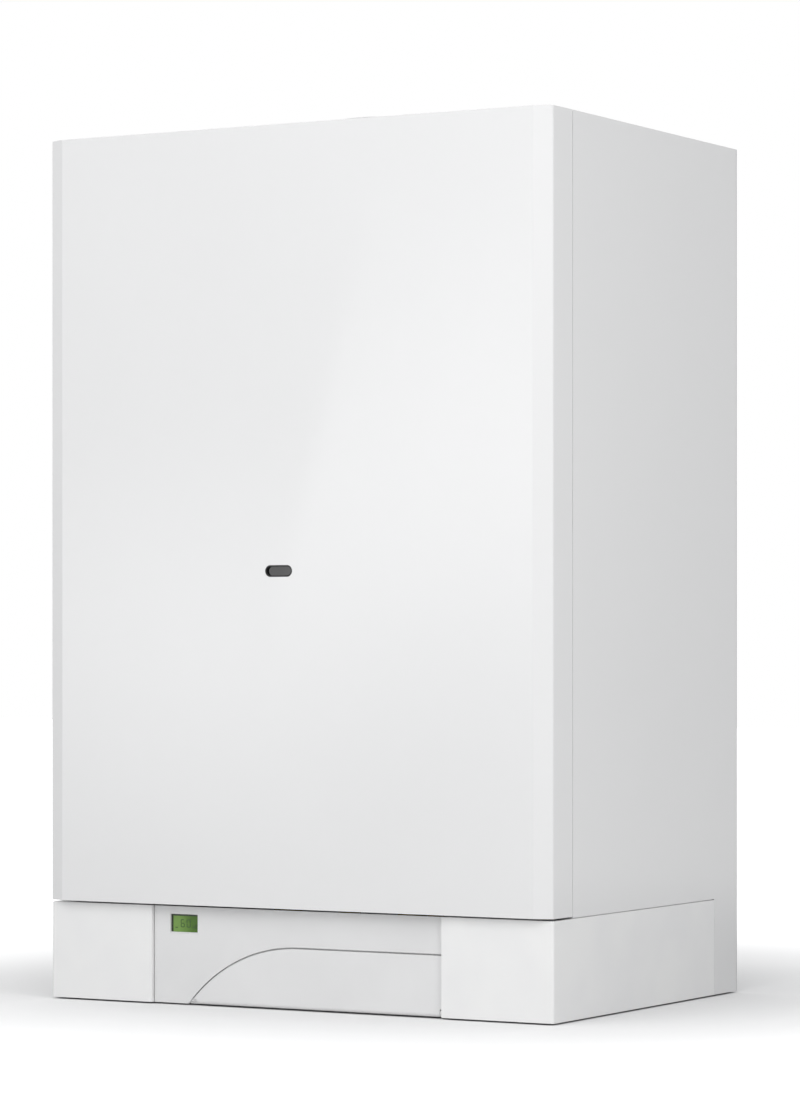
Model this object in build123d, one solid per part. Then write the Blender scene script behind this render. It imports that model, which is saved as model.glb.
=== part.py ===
from build123d import *
from math import atan2, cos, pi, radians, sin, sqrt
import os

# Wall-hung gas boiler, in millimetres.
# The wall is the plane y = 0, the front faces -Y and +Z is up.
# The origin lies on the wall, midway between the two hanging holes.

# Casing
case_width = 500.0
case_height = 755.0
case_depth = 354.0
sheet = 1.2
back_sheet = 1.5
seam = 0.8
flange = 15.0
tray_flange = 22.0
screw_radius = 1.6

# Front panel
front_bulge = 6.5
bevel_width = 15.3
bevel_radius = 4.0
corner_radius = 2.0
front_return = 34.0
panel_lift = 1.0
lower_return = 30.0
panel_travel_gap = 0.5
seal_width = 8.0
seal_depth = 7.0

# Skirt under the casing
skirt_height = 85.0
cheek_width = 105.5
skirt_wall = 2.0
cheek_wall = 2.5
cheek_return = 69.0
tail_depth = 47.0
tail_gap = 0.3
skirt_flange = 12.0

# Hanging points and back plate
hang_drop = 45.0
hang_spacing = 380.0
hang_hole_radius = 5.5
rail_height = 44.0
rail_depth = 12.0
rail_sheet = 2.0
rail_hole_radius = 9.0

# Sight window in the front panel
sight_height = 374.0
sight_offset = -11.0
sight_length = 27.0
sight_width = 10.0
sight_glass = 3.0
sight_lap = 4.0

# Control box that tilts out of the skirt
fascia_recess = 3.5
fascia_gap = 0.8
fascia_wall = 3.0
box_wall = 2.5
box_depth = 61.5
box_rear_height = 58.0
box_lid = 2.0
tilt_pin_radius = 4.0
tilt_pin_back = 12.5
tilt_pin_height = 12.0
tilt_boss = 4.5
running_gap = 0.05

# Flap in the control box, with its curved left edge
flap_left = 37.3
flap_top = 51.4
flap_arc_radius = 141.5
flap_thickness = 2.5
flap_groove = 1.4
flap_barrel = 3.0
flap_pin = 1.5
flap_heel = 1.0
flap_rim = 5.0
rim_depth = 6.5
well_depth = 14.0

# Controls behind the flap
gauge_radius = 18.0
gauge_bezel = 1.4
gauge_depth = 18.0
gauge_from_right = 26.0
knob_radius = 14.0
knob_height = 9.0
knob_pitch = 44.0
knob_shaft = 3.0
button_radius = 4.5
button_pitch = 18.0
button_travel = 1.5
control_height = 26.4
board_sheet = 1.6
board_back = 26.5

# Display
display_width = 28.0
display_height = 15.5
display_from_left = 16.5
display_level = 69.5
lens_sink = 1.5
lens_lap = 2.0

# Heat cell
cell_width = 224.0
cell_back = 122.0
cell_front_room = 36.0
cell_sheet = 1.5
burner_height = 36.0
chamber_height = 128.0
exchanger_height = 70.0
hood_height = 42.0
hood_slope = 18.0
insulation = 10.0
bar_count = 11
bar_pitch = 19.0
bar_width = 11.0
bar_wall = 0.8
fin_count = 18
fin_sheet = 0.8
water_tube_radius = 8.0
water_tube_count = 6
tube_wall = 1.2
tube_fit = 0.05
end_plate = 2.0
bend_reach = 18.0
nipple_offset = 130.0

# Fan and flue
flue_radius = 30.0
flue_wall = 1.5
air_radius = 50.2
socket_gap = 0.3
collar_rise = 18.0
collar_wall = 2.0
collar_flange = 70.0
socket_depth = 23.0
socket_drop = 3.0
socket_stop = 2.0
hood_throat = 38.0
volute_radius = 58.0
volute_wall = 2.0
impeller_radius = 44.0
impeller_width = 38.0
impeller_blades = 20
fan_inlet = 27.0
neck_rise = 12.0
fan_shaft = 4.0
fan_motor_radius = 32.0
fan_motor_length = 40.0

# Expansion vessel
vessel_radius = 158.0
vessel_depth = 98.0
vessel_wall = 1.5
vessel_level = 300.0

# Connections under the casing
tail_pitch = 65.0
tails_back = 150.0
tail_end = 8.0
large_tail = 13.2
small_tail = 10.5
tail_wall = 2.2
backnut_height = 10.0
backnut_margin = 6.0
hole_margin = 1.0

# Safety valve's spout under the floor
spout_radius = 7.5
spout_length = 25.0
spout_shoulder = 1.0

# Water groups, pump and gas train
group_length = 110.0
group_height = 45.0
group_front = 215.0
group_back = 115.0
group_wall = 6.0
plate_pack_height = 44.0
plate_count = 14
pump_radius = 40.0
pump_depth = 55.0
pump_motor_length = 95.0
pump_shaft = 4.0
impeller_gap = 2.5
water_pipe = 9.0
gas_pipe = 8.0
vessel_pipe = 5.0
pipe_wall = 1.0
pipe_bend = 28.0
nut_margin = 4.5
nut_height = 11.0
valve_width = 70.0
valve_depth = 64.0
valve_height = 70.0

# Places worked out from the sizes above
half_width = case_width / 2
top_z = hang_drop
base_z = top_z - case_height
under_z = base_z + skirt_height
floor_z = under_z + back_sheet
panel_base_z = under_z + panel_lift
front_y = -case_depth
face_y = front_y - front_bulge
side_front_y = front_y + front_return + seam
tray_front_y = side_front_y + sheet
tray_back_y = -back_sheet - sheet
inner_x = half_width - sheet
centre_half = half_width - cheek_width
fascia_y = front_y + fascia_recess
box_half = centre_half - fascia_gap
box_top_z = under_z - panel_lift
box_back_y = fascia_y + box_depth
tilt_y = fascia_y + tilt_pin_back
tilt_z = base_z + tilt_pin_height
well_y = fascia_y + well_depth
well_back_y = well_y + box_wall
board_y = fascia_y + board_back
control_z = base_z + control_height
gauge_x = box_half - gauge_from_right
knob_xs = [gauge_x - knob_pitch - 6.0, gauge_x - 2 * knob_pitch - 6.0]
button_xs = [knob_xs[1] - 36.0 - button_pitch * i for i in range(2)]
button_z = control_z - 4.0
hinge_y = fascia_y + flap_barrel
hinge_z = base_z + flap_barrel
sight_z = base_z + sight_height
cell_front_y = front_y + cell_front_room
cell_half = cell_width / 2
burner_z = sight_z - 22.0 - burner_height
chamber_z = burner_z + burner_height
exchanger_z = chamber_z + chamber_height
hood_z = exchanger_z + exchanger_height
hood_top_z = hood_z + hood_height
fan_x = -(volute_radius - flue_radius - volute_wall + flue_wall)
fan_z = hood_top_z + volute_radius
fan_back_y = -cell_back - hood_throat
fan_front_y = fan_back_y - 2 * flue_radius - 2 * (volute_wall - flue_wall)
flue_y = (fan_back_y + fan_front_y) / 2
neck_top_z = fan_z + volute_radius + neck_rise
tails_y = -tails_back
group_top_z = floor_z + group_height
vessel_z = base_z + vessel_level
tail_xs = [tail_pitch * (i - 2) for i in range(5)]
tail_radii = [large_tail, small_tail, large_tail, small_tail, large_tail]
pump_x = tail_xs[4]
pump_z = group_top_z + pump_radius + 6.0
pump_back_y = -130.0
pump_front_y = pump_back_y - pump_depth
relief_x = tail_xs[3] + 6.0
relief_z = floor_z + 22.0
relief_y = -(group_front + 18.0)
filling_x = tail_xs[4] - 32.0
filling_y = -(group_front - 24.0)
gland_x = -inner_x + 46.0
gland_y = -(case_depth - 124.0)

nodes = {}


def block(x0, x1, y0, y1, z0, z1):
    """A box between two corners."""
    size = Box(x1 - x0, y1 - y0, z1 - z0)
    return Pos((x0 + x1) / 2, (y0 + y1) / 2, (z0 + z1) / 2) * size


def rod_x(y, z, x0, x1, radius):
    """A round bar along X."""
    return Pos((x0 + x1) / 2, y, z) * Rot(0, 90, 0) * Cylinder(radius, x1 - x0)


def rod_y(x, z, y0, y1, radius):
    """A round bar along Y."""
    return Pos(x, (y0 + y1) / 2, z) * Rot(90, 0, 0) * Cylinder(radius, y1 - y0)


def rod_z(x, y, z0, z1, radius):
    """A round bar along Z."""
    return Pos(x, y, (z0 + z1) / 2) * Cylinder(radius, z1 - z0)


def hex_z(x, y, z0, z1, radius):
    """A hexagonal nut body along Z, by the circle round its flats."""
    outline = RegularPolygon(radius, 6, major_radius=False)
    return extrude(Pos(x, y, z0) * outline, amount=z1 - z0)


def facing(sketch, x, z, y_back, y_front):
    """A sketch drawn as seen from the front, thickened from y_back towards the viewer."""
    plane = Plane(origin=(x, y_back, z), x_dir=(1, 0, 0), z_dir=(0, -1, 0))
    return extrude(plane * sketch, amount=y_back - y_front)


def across(points, x0, x1):
    """An outline in (y, z), drawn out along X."""
    outline = make_face(Plane.YZ * Polyline(*points, close=True))
    return extrude(Pos(x0, 0, 0) * outline, amount=x1 - x0, dir=(1, 0, 0))


def ring_nut(x, y, z0, z1, bore, radius):
    """A nut round a pipe, clear of it by the socket gap."""
    return hex_z(x, y, z0, z1, radius) - rod_z(x, y, z0 - 1, z1 + 1, bore + socket_gap)


def pipe(points, bend, radius, wall):
    """A hollow pipe along straight runs joined by round bends."""
    path = FilletPolyline(*points, radius=bend)
    start = Plane(origin=path @ 0, z_dir=path % 0)
    section = start * (Circle(radius) - Circle(radius - wall))
    return sweep(section, path=path)


def straight_pipe(x, y, z0, z1, radius, wall):
    """A hollow upright pipe."""
    return rod_z(x, y, z0, z1, radius) - rod_z(x, y, z0 - 1, z1 + 1, radius - wall)


def pan_screw(length, head_radius, head_height, shank_radius):
    """A pan-head screw standing on z = 0, with its shank going down."""
    head = Pos(0, 0, head_height / 2) * Cylinder(head_radius, head_height)
    head = fillet(head.faces().sort_by(Axis.Z)[-1].edges(), head_height * 0.45)
    slot = Box(head_radius * 1.1, head_radius * 0.28, head_height)
    head -= Pos(0, 0, head_height) * (slot + Rot(0, 0, 90) * slot)
    return head + Pos(0, 0, -length / 2) * Cylinder(shank_radius, length)


def both_sides(shape):
    """The shape and its mirror image across the middle plane."""
    return [shape, mirror(shape, about=Plane.YZ)]


def solids_of(shapes):
    """All solids of some shapes, as one group."""
    return Compound([solid for shape in shapes for solid in shape.solids()])


# Casing sheets


def make_back_plate():
    """The flat sheet against the wall, with two hanging holes and the screw holes along its edges."""
    plate = block(-half_width, half_width, -back_sheet, 0, base_z, top_z)
    for x in (-hang_spacing / 2, hang_spacing / 2):
        plate -= rod_y(x, 0, -back_sheet - 1, 1, hang_hole_radius)
    for z in side_screw_places():
        for x in (flange / 2 - inner_x, inner_x - flange / 2):
            plate -= rod_y(x, z, -back_sheet - 1, 1, screw_radius + 0.1)
    return plate


def make_hanging_rail():
    """A channel in front of the back plate that stiffens it round the two hanging holes."""
    half = hang_spacing / 2 + 22.0
    low, high = -rail_height / 2, rail_height / 2
    back = -back_sheet
    rail = block(-half, half, back - rail_depth, back, low, high)
    rail -= block(-half - 1, half + 1, back - rail_depth + rail_sheet, back + 1,
                  low + rail_sheet, high - rail_sheet)
    for x in (-hang_spacing / 2, hang_spacing / 2):
        rail -= rod_y(x, 0, back - rail_depth - 1, back, rail_hole_radius)
    return rail


def make_side_panel():
    """The right side sheet, with the tail that runs down beside the skirt."""
    outer = block(inner_x, half_width, side_front_y, -back_sheet, under_z, top_z)
    outer += block(inner_x, half_width, -tail_depth, -back_sheet, base_z, under_z)
    outer += block(inner_x - flange, inner_x, side_front_y, tray_front_y, under_z, top_z)
    outer += block(inner_x - flange, inner_x, tray_back_y, -back_sheet, base_z, top_z)
    for z in side_screw_places():
        outer -= rod_y(inner_x - flange / 2, z, tray_back_y - 1, 0, screw_radius + 0.1)
    return outer


def side_screw_places():
    """The heights of the screws through the side sheets' rear flanges."""
    first, last = under_z + 60.0, top_z - 60.0
    return [first + i * (last - first) / 3 for i in range(4)]


def casing_tray(z_outer, z_inner, z_rim, front):
    """A sheet that closes the casing above or below, with its edges turned inwards."""
    low, high = min(z_outer, z_inner), max(z_outer, z_inner)
    tray = block(-inner_x, inner_x, tray_front_y, tray_back_y, low, high)
    rim_low, rim_high = min(z_outer, z_rim), max(z_outer, z_rim)
    thick = high - low
    for x0 in (-inner_x, inner_x - thick):
        tray += block(x0, x0 + thick, tray_front_y, tray_back_y, rim_low, rim_high)
    clear = inner_x - flange - socket_gap
    tray += block(-clear, clear, front, tray_front_y + thick, rim_low, rim_high)
    return tray


def make_top_cover():
    """The top sheet, open where the flue and its air come through."""
    cover = casing_tray(top_z, top_z - sheet, top_z - tray_flange, side_front_y)
    cover -= rod_z(0, flue_y, top_z - sheet - 1, top_z + 1, air_radius)
    for x, y in cover_screw_places():
        cover -= rod_z(x, y, top_z - sheet - 1, top_z + 1, 2.2)
    return cover


def cover_screw_places():
    """Where four screws hold the flue collar to the top cover."""
    reach = (air_radius + collar_flange) / 2
    return [(reach * cos(radians(a)), flue_y + reach * sin(radians(a))) for a in (45, 135, 225, 315)]


def make_bottom_plate():
    """The floor of the casing, with a hole for each connection."""
    plate = casing_tray(under_z, floor_z, under_z + tray_flange, side_front_y)
    holes = [(x, tails_y, r) for x, r in zip(tail_xs, tail_radii)]
    holes += [(relief_x, relief_y, spout_radius + 0.6), (filling_x, filling_y, 6.0), (gland_x, gland_y, 9.0)]
    for x, y, radius in holes:
        plate -= rod_z(x, y, under_z - 1, floor_z + 1, radius + hole_margin)
    return plate


def make_skirt():
    """The right half of the skirt: front cheek, side wall and the return beside the control box."""
    z0, z1 = base_z, under_z - seam
    back = -tail_depth - tail_gap
    outer = Pos((centre_half + half_width) / 2, (front_y + back) / 2) * Rectangle(cheek_width, back - front_y)
    corner = outer.vertices().sort_by_distance((half_width, front_y, 0))[0]
    outer = fillet(corner, corner_radius + 0.5)
    skirt = extrude(Pos(0, 0, z0) * outer, amount=z1 - z0)
    inside = block(centre_half + cheek_wall, half_width - skirt_wall, front_y + cheek_wall, back + 1,
                   z0 - 1, z1 + 1)
    skirt -= inside
    return_back = front_y + cheek_return
    skirt -= block(centre_half - 1, centre_half + cheek_wall + 1, return_back, back + 1, z0 - 1, z1 + 1)
    inner = half_width - skirt_wall
    lip0, lip1 = under_z - skirt_wall, under_z
    skirt += block(inner - skirt_flange, inner, tray_front_y, back, lip0, lip1)
    skirt += block(centre_half + cheek_wall, inner, front_y + cheek_wall, front_y + cheek_wall + skirt_flange,
                   lip0 - seam, z1)
    skirt += rod_x(tilt_y, tilt_z, centre_half, centre_half + cheek_wall + tilt_boss, tilt_pin_radius + 4.0)
    skirt -= rod_x(tilt_y, tilt_z, centre_half - 1, centre_half + cheek_wall + tilt_boss + 1,
                   tilt_pin_radius + running_gap)
    return skirt


def make_casing_screws():
    """Screws that hold the side sheets to the back plate, with their heads inside."""
    screw = pan_screw(back_sheet + sheet - 0.3, 3.6, 2.2, screw_radius)
    places = [Pos(inner_x - flange / 2, tray_back_y, z) * Rot(90, 0, 0) * screw for z in side_screw_places()]
    return [part for place in places for part in both_sides(place)]


# Front panel and its sight window


def panel_outline():
    """The front panel seen from above: a flat face between two bevels and two side returns."""
    face_half = half_width - bevel_width
    back = front_y + front_return
    points = [
        (-half_width, back), (-half_width, front_y), (-face_half, face_y),
        (face_half, face_y), (half_width, front_y), (half_width, back),
    ]
    outline = make_face(Polyline(*points, close=True))
    corners = [outline.vertices().sort_by_distance((x, front_y, 0))[0] for x in (-half_width, half_width)]
    outline = fillet(corners, corner_radius)
    bends = [outline.vertices().sort_by_distance((x, face_y, 0))[0] for x in (-face_half, face_half)]
    return fillet(bends, bevel_radius)


def make_front_panel():
    """A pressed sheet pan, open behind, with turned edges above and below."""
    outline = panel_outline()
    back = front_y + front_return
    panel = extrude(Pos(0, 0, panel_base_z) * outline, amount=top_z - panel_base_z)
    inside = offset(outline, amount=-sheet, kind=Kind.INTERSECTION)
    inside += Pos(0, back) * Rectangle(2 * inner_x, 2 * sheet + 2)
    depth = top_z - panel_base_z - 2 * sheet
    panel -= extrude(Pos(0, 0, panel_base_z + sheet) * inside, amount=depth)
    panel -= block(-inner_x, inner_x, face_y + lower_return, back + 1, panel_base_z - 1, panel_base_z + 2 * sheet)
    panel -= facing(SlotOverall(sight_length, sight_width), sight_offset, sight_z, face_y + 3 * sheet, face_y - 1)
    return panel


def make_sight_bezel():
    """The black rim that lines the window hole and carries the glass."""
    inner = SlotOverall(sight_length - 2.4, sight_width - 2.4)
    lining = SlotOverall(sight_length - 0.2, sight_width - 0.2)
    outer = SlotOverall(sight_length + 2 * sight_lap, sight_width + 2 * sight_lap)
    back = face_y + sheet
    rim = facing(lining - inner, sight_offset, sight_z, back, face_y + 0.2)
    return rim + facing(outer - inner, sight_offset, sight_z, back + 1.2, back)


def make_sight_glass():
    """The toughened glass behind the window."""
    outer = SlotOverall(sight_length + 2 * sight_lap, sight_width + 2 * sight_lap)
    back = face_y + sheet + 1.2
    return facing(outer, sight_offset, sight_z, back + sight_glass, back)


def make_door_seal():
    """The soft seal round the casing's front opening, inside the front panel's turned edges."""
    side = inner_x - panel_travel_gap
    low = panel_base_z + sheet + panel_travel_gap
    high = top_z - sheet - panel_travel_gap
    front = side_front_y - seal_depth
    ring = block(-side, side, front, side_front_y, low, high)
    return ring - block(-side + seal_width, side - seal_width, front - 1, side_front_y + 1,
                        low + seal_width, high - seal_width)


# Control box


def box_profile(inset):
    """The side view of the control box, drawn in by a wall on every side but the back."""
    drop = (box_top_z - base_z) - box_rear_height
    slope = drop / box_depth
    lift = inset * sqrt(1 + slope * slope)
    front_in = fascia_wall if inset else 0.0
    back_y = box_back_y + (1.0 if inset else 0.0)
    return [
        (fascia_y + front_in, base_z + inset),
        (fascia_y + front_in, box_top_z - slope * front_in - lift),
        (back_y, box_top_z - slope * (back_y - fascia_y) - lift),
        (back_y, base_z + inset),
    ]


def flap_outline(grow):
    """The flap seen from the front: an arc that rises from the bottom edge and runs into a level top."""
    centre_height = flap_top - flap_arc_radius
    arc_x = -centre_half + flap_left + sqrt(flap_arc_radius ** 2 - centre_height ** 2)
    radius = flap_arc_radius + grow
    top = flap_top + grow
    low = -grow
    foot_x = arc_x - sqrt(radius ** 2 - (low - centre_height) ** 2)
    half_turn = atan2(low - centre_height, foot_x - arc_x) / 2 + pi / 4
    midway = (arc_x + radius * cos(half_turn), centre_height + radius * sin(half_turn))
    arc = ThreePointArc((foot_x, low), midway, (arc_x, top))
    rest = Polyline((arc_x, top), (box_half + grow, top), (box_half + grow, low), (foot_x, low))
    return make_face(arc.edges() + rest.edges())


def make_control_box():
    """The tray that tilts forwards, with the fascia, the flap's recess and the pivot pins."""
    box = across(box_profile(0), -box_half, box_half)
    box -= across(box_profile(box_wall), -box_half + box_wall, box_half - box_wall)
    clip = block(-box_half, box_half, fascia_y, box_back_y, base_z, box_top_z)
    rim = facing(flap_outline(flap_rim), 0, base_z, fascia_y + rim_depth + box_wall, fascia_y)
    well = facing(flap_outline(box_wall - flap_rim), 0, base_z, well_back_y, fascia_y + rim_depth)
    box += (rim + well) & clip
    box -= facing(flap_outline(flap_groove), 0, base_z, fascia_y + flap_thickness + 0.6, fascia_y - 1)
    box -= rod_x(hinge_y, hinge_z, barrel_start() - 1, box_half - box_wall, flap_barrel + 0.5)
    box -= block(barrel_start() - 1, box_half - box_wall, fascia_y - 1, hinge_y, base_z - 1, hinge_z)
    box -= block(barrel_start() - 1, box_half - box_wall, hinge_y, hinge_y + flap_barrel, base_z - 1, hinge_z)
    box -= facing(flap_outline(-flap_rim), 0, base_z, well_y, fascia_y - 1)
    box += rod_x(hinge_y, hinge_z, box_half - box_wall, box_half, flap_barrel)
    for x0, x1 in ((barrel_start() - 12.0, barrel_start() - 1), (box_half - box_wall - 1, box_half + 1)):
        box -= rod_x(hinge_y, hinge_z, x0, x1, flap_pin + running_gap)
    box -= rod_y(gauge_x, control_z, well_y - 1, well_back_y + 1, gauge_radius + socket_gap)
    for x in knob_xs:
        box -= rod_y(x, control_z, well_y - 1, well_back_y + 1, knob_shaft + running_gap)
    for x in button_xs:
        box -= rod_y(x, button_z, well_y - 1, well_back_y + 1, button_radius + 0.2)
    box = cut_display_window(box)
    for x, z, start in board_posts():
        box += rod_y(x, z, start, board_y, 3.0)
    pin_reach = box_half + cheek_wall + tilt_boss
    for x0, x1 in ((-pin_reach, -box_half), (box_half, pin_reach)):
        box += rod_x(tilt_y, tilt_z, x0, x1, tilt_pin_radius)
    return box


def cut_display_window(box):
    """The fascia's window, with a wider seat behind it for the lens."""
    x = -box_half + display_from_left + display_width / 2
    z = base_z + display_level
    box -= facing(Rectangle(display_width, display_height), x, z, fascia_y + fascia_wall + 1, fascia_y - 1)
    seat = Rectangle(display_width + 2 * lens_lap, display_height + 2 * lens_lap - 1.0)
    return box - facing(seat, x, z, fascia_y + fascia_wall + 0.5, fascia_y + lens_sink)


def board_posts():
    """Places of the posts that carry the circuit board, with where each one starts."""
    left = -box_half + 13.0
    middle = (knob_xs[0] + knob_xs[1]) / 2
    return [
        (left, base_z + 12.0, fascia_y + fascia_wall - 0.5),
        (left, base_z + 48.0, fascia_y + fascia_wall - 0.5),
        (middle, base_z + 16.0, well_back_y - 0.5),
        (middle, base_z + 42.0, well_back_y - 0.5),
    ]


def barrel_start():
    """The left end of the flap's hinge barrel, inside the foot of the curved edge."""
    return -centre_half + flap_left + 7.0


def make_flap():
    """The hinged flap over the controls."""
    plate = facing(flap_outline(0), 0, base_z, fascia_y + flap_thickness, fascia_y)
    plate -= block(-half_width, half_width, fascia_y - 1, fascia_y + flap_thickness + 1, base_z - 1, hinge_z)
    lug_x = box_half - box_wall - 0.3
    plate -= block(lug_x, half_width, fascia_y - 1, fascia_y + flap_thickness + 1,
                   base_z, hinge_z + flap_barrel + 0.5)
    plate -= block(-half_width, barrel_start(), fascia_y - 1, fascia_y + flap_thickness + 1,
                   base_z, hinge_z + flap_heel)
    flap = plate + rod_x(hinge_y, hinge_z, barrel_start(), lug_x, flap_barrel)
    flap += rod_x(hinge_y, hinge_z, barrel_start() - 10.8, barrel_start(), flap_pin)
    flap += rod_x(hinge_y, hinge_z, lug_x, box_half - 0.3, flap_pin)
    catch_x = (knob_xs[0] + knob_xs[1]) / 2
    catch_z = base_z + flap_top - flap_rim - 4.0
    return flap + block(catch_x - 6, catch_x + 6, fascia_y + flap_thickness, fascia_y + flap_thickness + 2.5,
                        catch_z - 1.5, catch_z + 1.5)


def make_box_lid():
    """The cover on the back of the control box."""
    low, high = base_z, base_z + box_rear_height
    lid = block(-box_half, box_half, box_back_y, box_back_y + box_lid, low, high)
    for i in range(9):
        x = -80.0 + 20.0 * i
        vent = SlotOverall(26.0, 3.0)
        lid -= facing(Rot(0, 0, 90) * vent, x, (low + high) / 2, box_back_y + box_lid + 1, box_back_y - 1)
    return lid


def make_circuit_board():
    """The board with its switches, potentiometers, relays and terminals."""
    right = gauge_x - gauge_radius - 6.0
    low, high = base_z + 8.0, base_z + 60.0
    back = board_y + board_sheet
    board = block(-box_half + box_wall + 1.0, right, board_y, back, low, high)
    for x in knob_xs:
        board += block(x - 8, x + 8, board_y - 6.5, board_y, control_z - 8, control_z + 8)
        board -= rod_y(x, control_z, board_y - 7.5, board_y, knob_shaft + running_gap)
    for x in button_xs:
        board += block(x - 3, x + 3, board_y - 1.8, board_y, button_z - 3, button_z + 3)
    for i in range(4):
        x = -box_half + 30.0 + i * 22.0
        board += block(x, x + 15.0, back, back + 15.0, low + 26.0, low + 41.0)
    for i in range(3):
        x = right - 30.0 - i * 34.0
        board += block(x, x + 26.0, back, back + 12.0, low + 4.0, low + 14.0)
    board += rod_y(right - 20.0, low + 34.0, back, back + 20.0, 9.0)
    return board


def make_display_lens():
    """The clear window of the display."""
    x = -box_half + display_from_left + display_width / 2
    size = Rectangle(display_width + 2 * lens_lap - 0.2, display_height + 2 * lens_lap - 1.2)
    return facing(size, x, base_z + display_level, fascia_y + fascia_wall, fascia_y + lens_sink)


def make_display_module():
    """The display cell in its frame, behind the lens."""
    x = -box_half + display_from_left + display_width / 2
    size = Rectangle(display_width + 6.0, display_height + 1.5)
    back = fascia_y + fascia_wall + 3.5
    return facing(size, x, base_z + display_level, back, fascia_y + fascia_wall)


def make_knob(x):
    """A ribbed knob with a pointer groove, on its shaft."""
    back = well_y - 0.6
    knob = rod_y(x, control_z, back - knob_height, back, knob_radius)
    knob = chamfer(knob.faces().sort_by(Axis.Y)[0].edges(), 1.2)
    for i in range(18):
        angle = radians(20 * i)
        rib_x = x + (knob_radius + 0.3) * sin(angle)
        rib_z = control_z + (knob_radius + 0.3) * cos(angle)
        knob -= rod_y(rib_x, rib_z, back - knob_height - 1, back - 2.0, 1.1)
    knob -= block(x - 0.8, x + 0.8, back - knob_height - 1, back - knob_height + 1.0,
                  control_z + 2.0, control_z + knob_radius)
    return knob + rod_y(x, control_z, back, board_y - 1.5, knob_shaft)


def make_button(x):
    """A push button with the collar that keeps it in the fascia."""
    cap = rod_y(x, button_z, well_y - 3.0, well_back_y + 0.4, button_radius)
    cap = fillet(cap.faces().sort_by(Axis.Y)[0].edges(), 0.8)
    cap += rod_y(x, button_z, well_back_y + 0.4, well_back_y + 1.4, button_radius + 1.0)
    return cap + rod_y(x, button_z, well_back_y + 1.4, board_y - 1.8 - button_travel - 0.3, 1.5)


def make_gauge_body():
    """The pressure gauge's case, dial and centre post."""
    front = well_y - 5.5
    body = rod_y(gauge_x, control_z, well_y, well_y + gauge_depth, gauge_radius)
    body += rod_y(gauge_x, control_z, front, well_y, gauge_radius + gauge_bezel)
    body -= rod_y(gauge_x, control_z, front - 1, well_y - 2.0, gauge_radius - 1.0)
    body -= rod_y(gauge_x, control_z, well_y - 3.0, well_y + 3.0, 1.0 + running_gap)
    return body + rod_y(gauge_x, control_z, well_y + gauge_depth, well_y + gauge_depth + 8.0, 5.0)


def make_gauge_needle():
    """The needle on its spindle."""
    disc = rod_y(gauge_x, control_z, well_y - 3.4, well_y - 2.6, 2.4)
    arm = block(gauge_x - 0.5, gauge_x + 0.5, well_y - 3.4, well_y - 2.6, control_z, control_z + gauge_radius - 4.0)
    tail = block(gauge_x - 1.2, gauge_x + 1.2, well_y - 3.4, well_y - 2.6, control_z - 6.0, control_z)
    spindle = rod_y(gauge_x, control_z, well_y - 2.6, well_y + 2.0, 1.0)
    needle = Pos(gauge_x, 0, control_z) * Rot(0, -135, 0) * Pos(-gauge_x, 0, -control_z) * (disc + arm + tail)
    return needle + spindle


def make_gauge_lens():
    """The clear cover of the gauge."""
    return rod_y(gauge_x, control_z, well_y - 5.2, well_y - 4.2, gauge_radius - 1.0 - running_gap)


# Heat cell


def make_cell_bracket():
    """A folded sheet that carries the heat cell from the back plate."""
    low, high = exchanger_z - 10.0, hood_top_z - 8.0
    outer = block(-90, 90, -cell_back, -back_sheet, low, high)
    return outer - block(-88, 88, -cell_back + 2.0, -back_sheet - 2.0, low - 1, high + 1)


def make_burner_tray():
    """The frame that holds the burner bars under the chamber."""
    back = -cell_back - 6.0
    front = cell_front_y + 16.0
    tray = block(-cell_half + 4, cell_half - 4, front, back, burner_z, chamber_z)
    tray -= block(-cell_half + 4 + cell_sheet, cell_half - 4 - cell_sheet, front + cell_sheet, back - cell_sheet,
                  burner_z - 1, chamber_z + 1)
    lip = block(-cell_half, cell_half, cell_front_y, -cell_back, chamber_z - cell_sheet, chamber_z)
    lip -= block(-cell_half + 5, cell_half - 5, front + cell_sheet, back - cell_sheet, burner_z, chamber_z + 1)
    tray += lip
    for y in (front + 22.0, back - 22.0):
        tray += block(-cell_half + 4, cell_half - 4, y - 5, y + 5, burner_z, burner_z + cell_sheet)
    for x in bar_places():
        tray -= rod_y(x, burner_z + 10.0, front - 1, front + cell_sheet + 1, 6.5)
    return tray


def bar_places():
    """The middle of each burner bar across the burner."""
    return [bar_pitch * (i - (bar_count - 1) / 2) for i in range(bar_count)]


def make_burner_bars():
    """Slotted steel bars that mix and burn the gas."""
    front = cell_front_y + 16.0 + cell_sheet + 1.0
    back = -cell_back - 6.0 - cell_sheet - 1.0
    low, high = burner_z + cell_sheet, chamber_z - 3.0
    bars = []
    for x in bar_places():
        bar = block(x - bar_width / 2, x + bar_width / 2, front, back, low, high)
        bar = fillet(bar.edges().filter_by(Axis.Y).sort_by(Axis.Z)[-2:], 3.0)
        t = bar_wall
        inside = block(x - bar_width / 2 + t, x + bar_width / 2 - t, front + t, back - t, low + t, high - t)
        mouth = rod_y(x, burner_z + 10.0, front - 1, front + 2 * t, 4.0)
        slots = [Pos(x, y, high) * Box(bar_width - 4.0, 1.0, 4.0 * t) for y in slot_places(front, back)]
        bars.append(bar.cut(inside, mouth, *slots))
    return bars


def slot_places(front, back):
    """Evenly spaced flame slots along a bar."""
    count = 18
    step = (back - front - 20.0) / (count - 1)
    return [front + 10.0 + step * i for i in range(count)]


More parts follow.
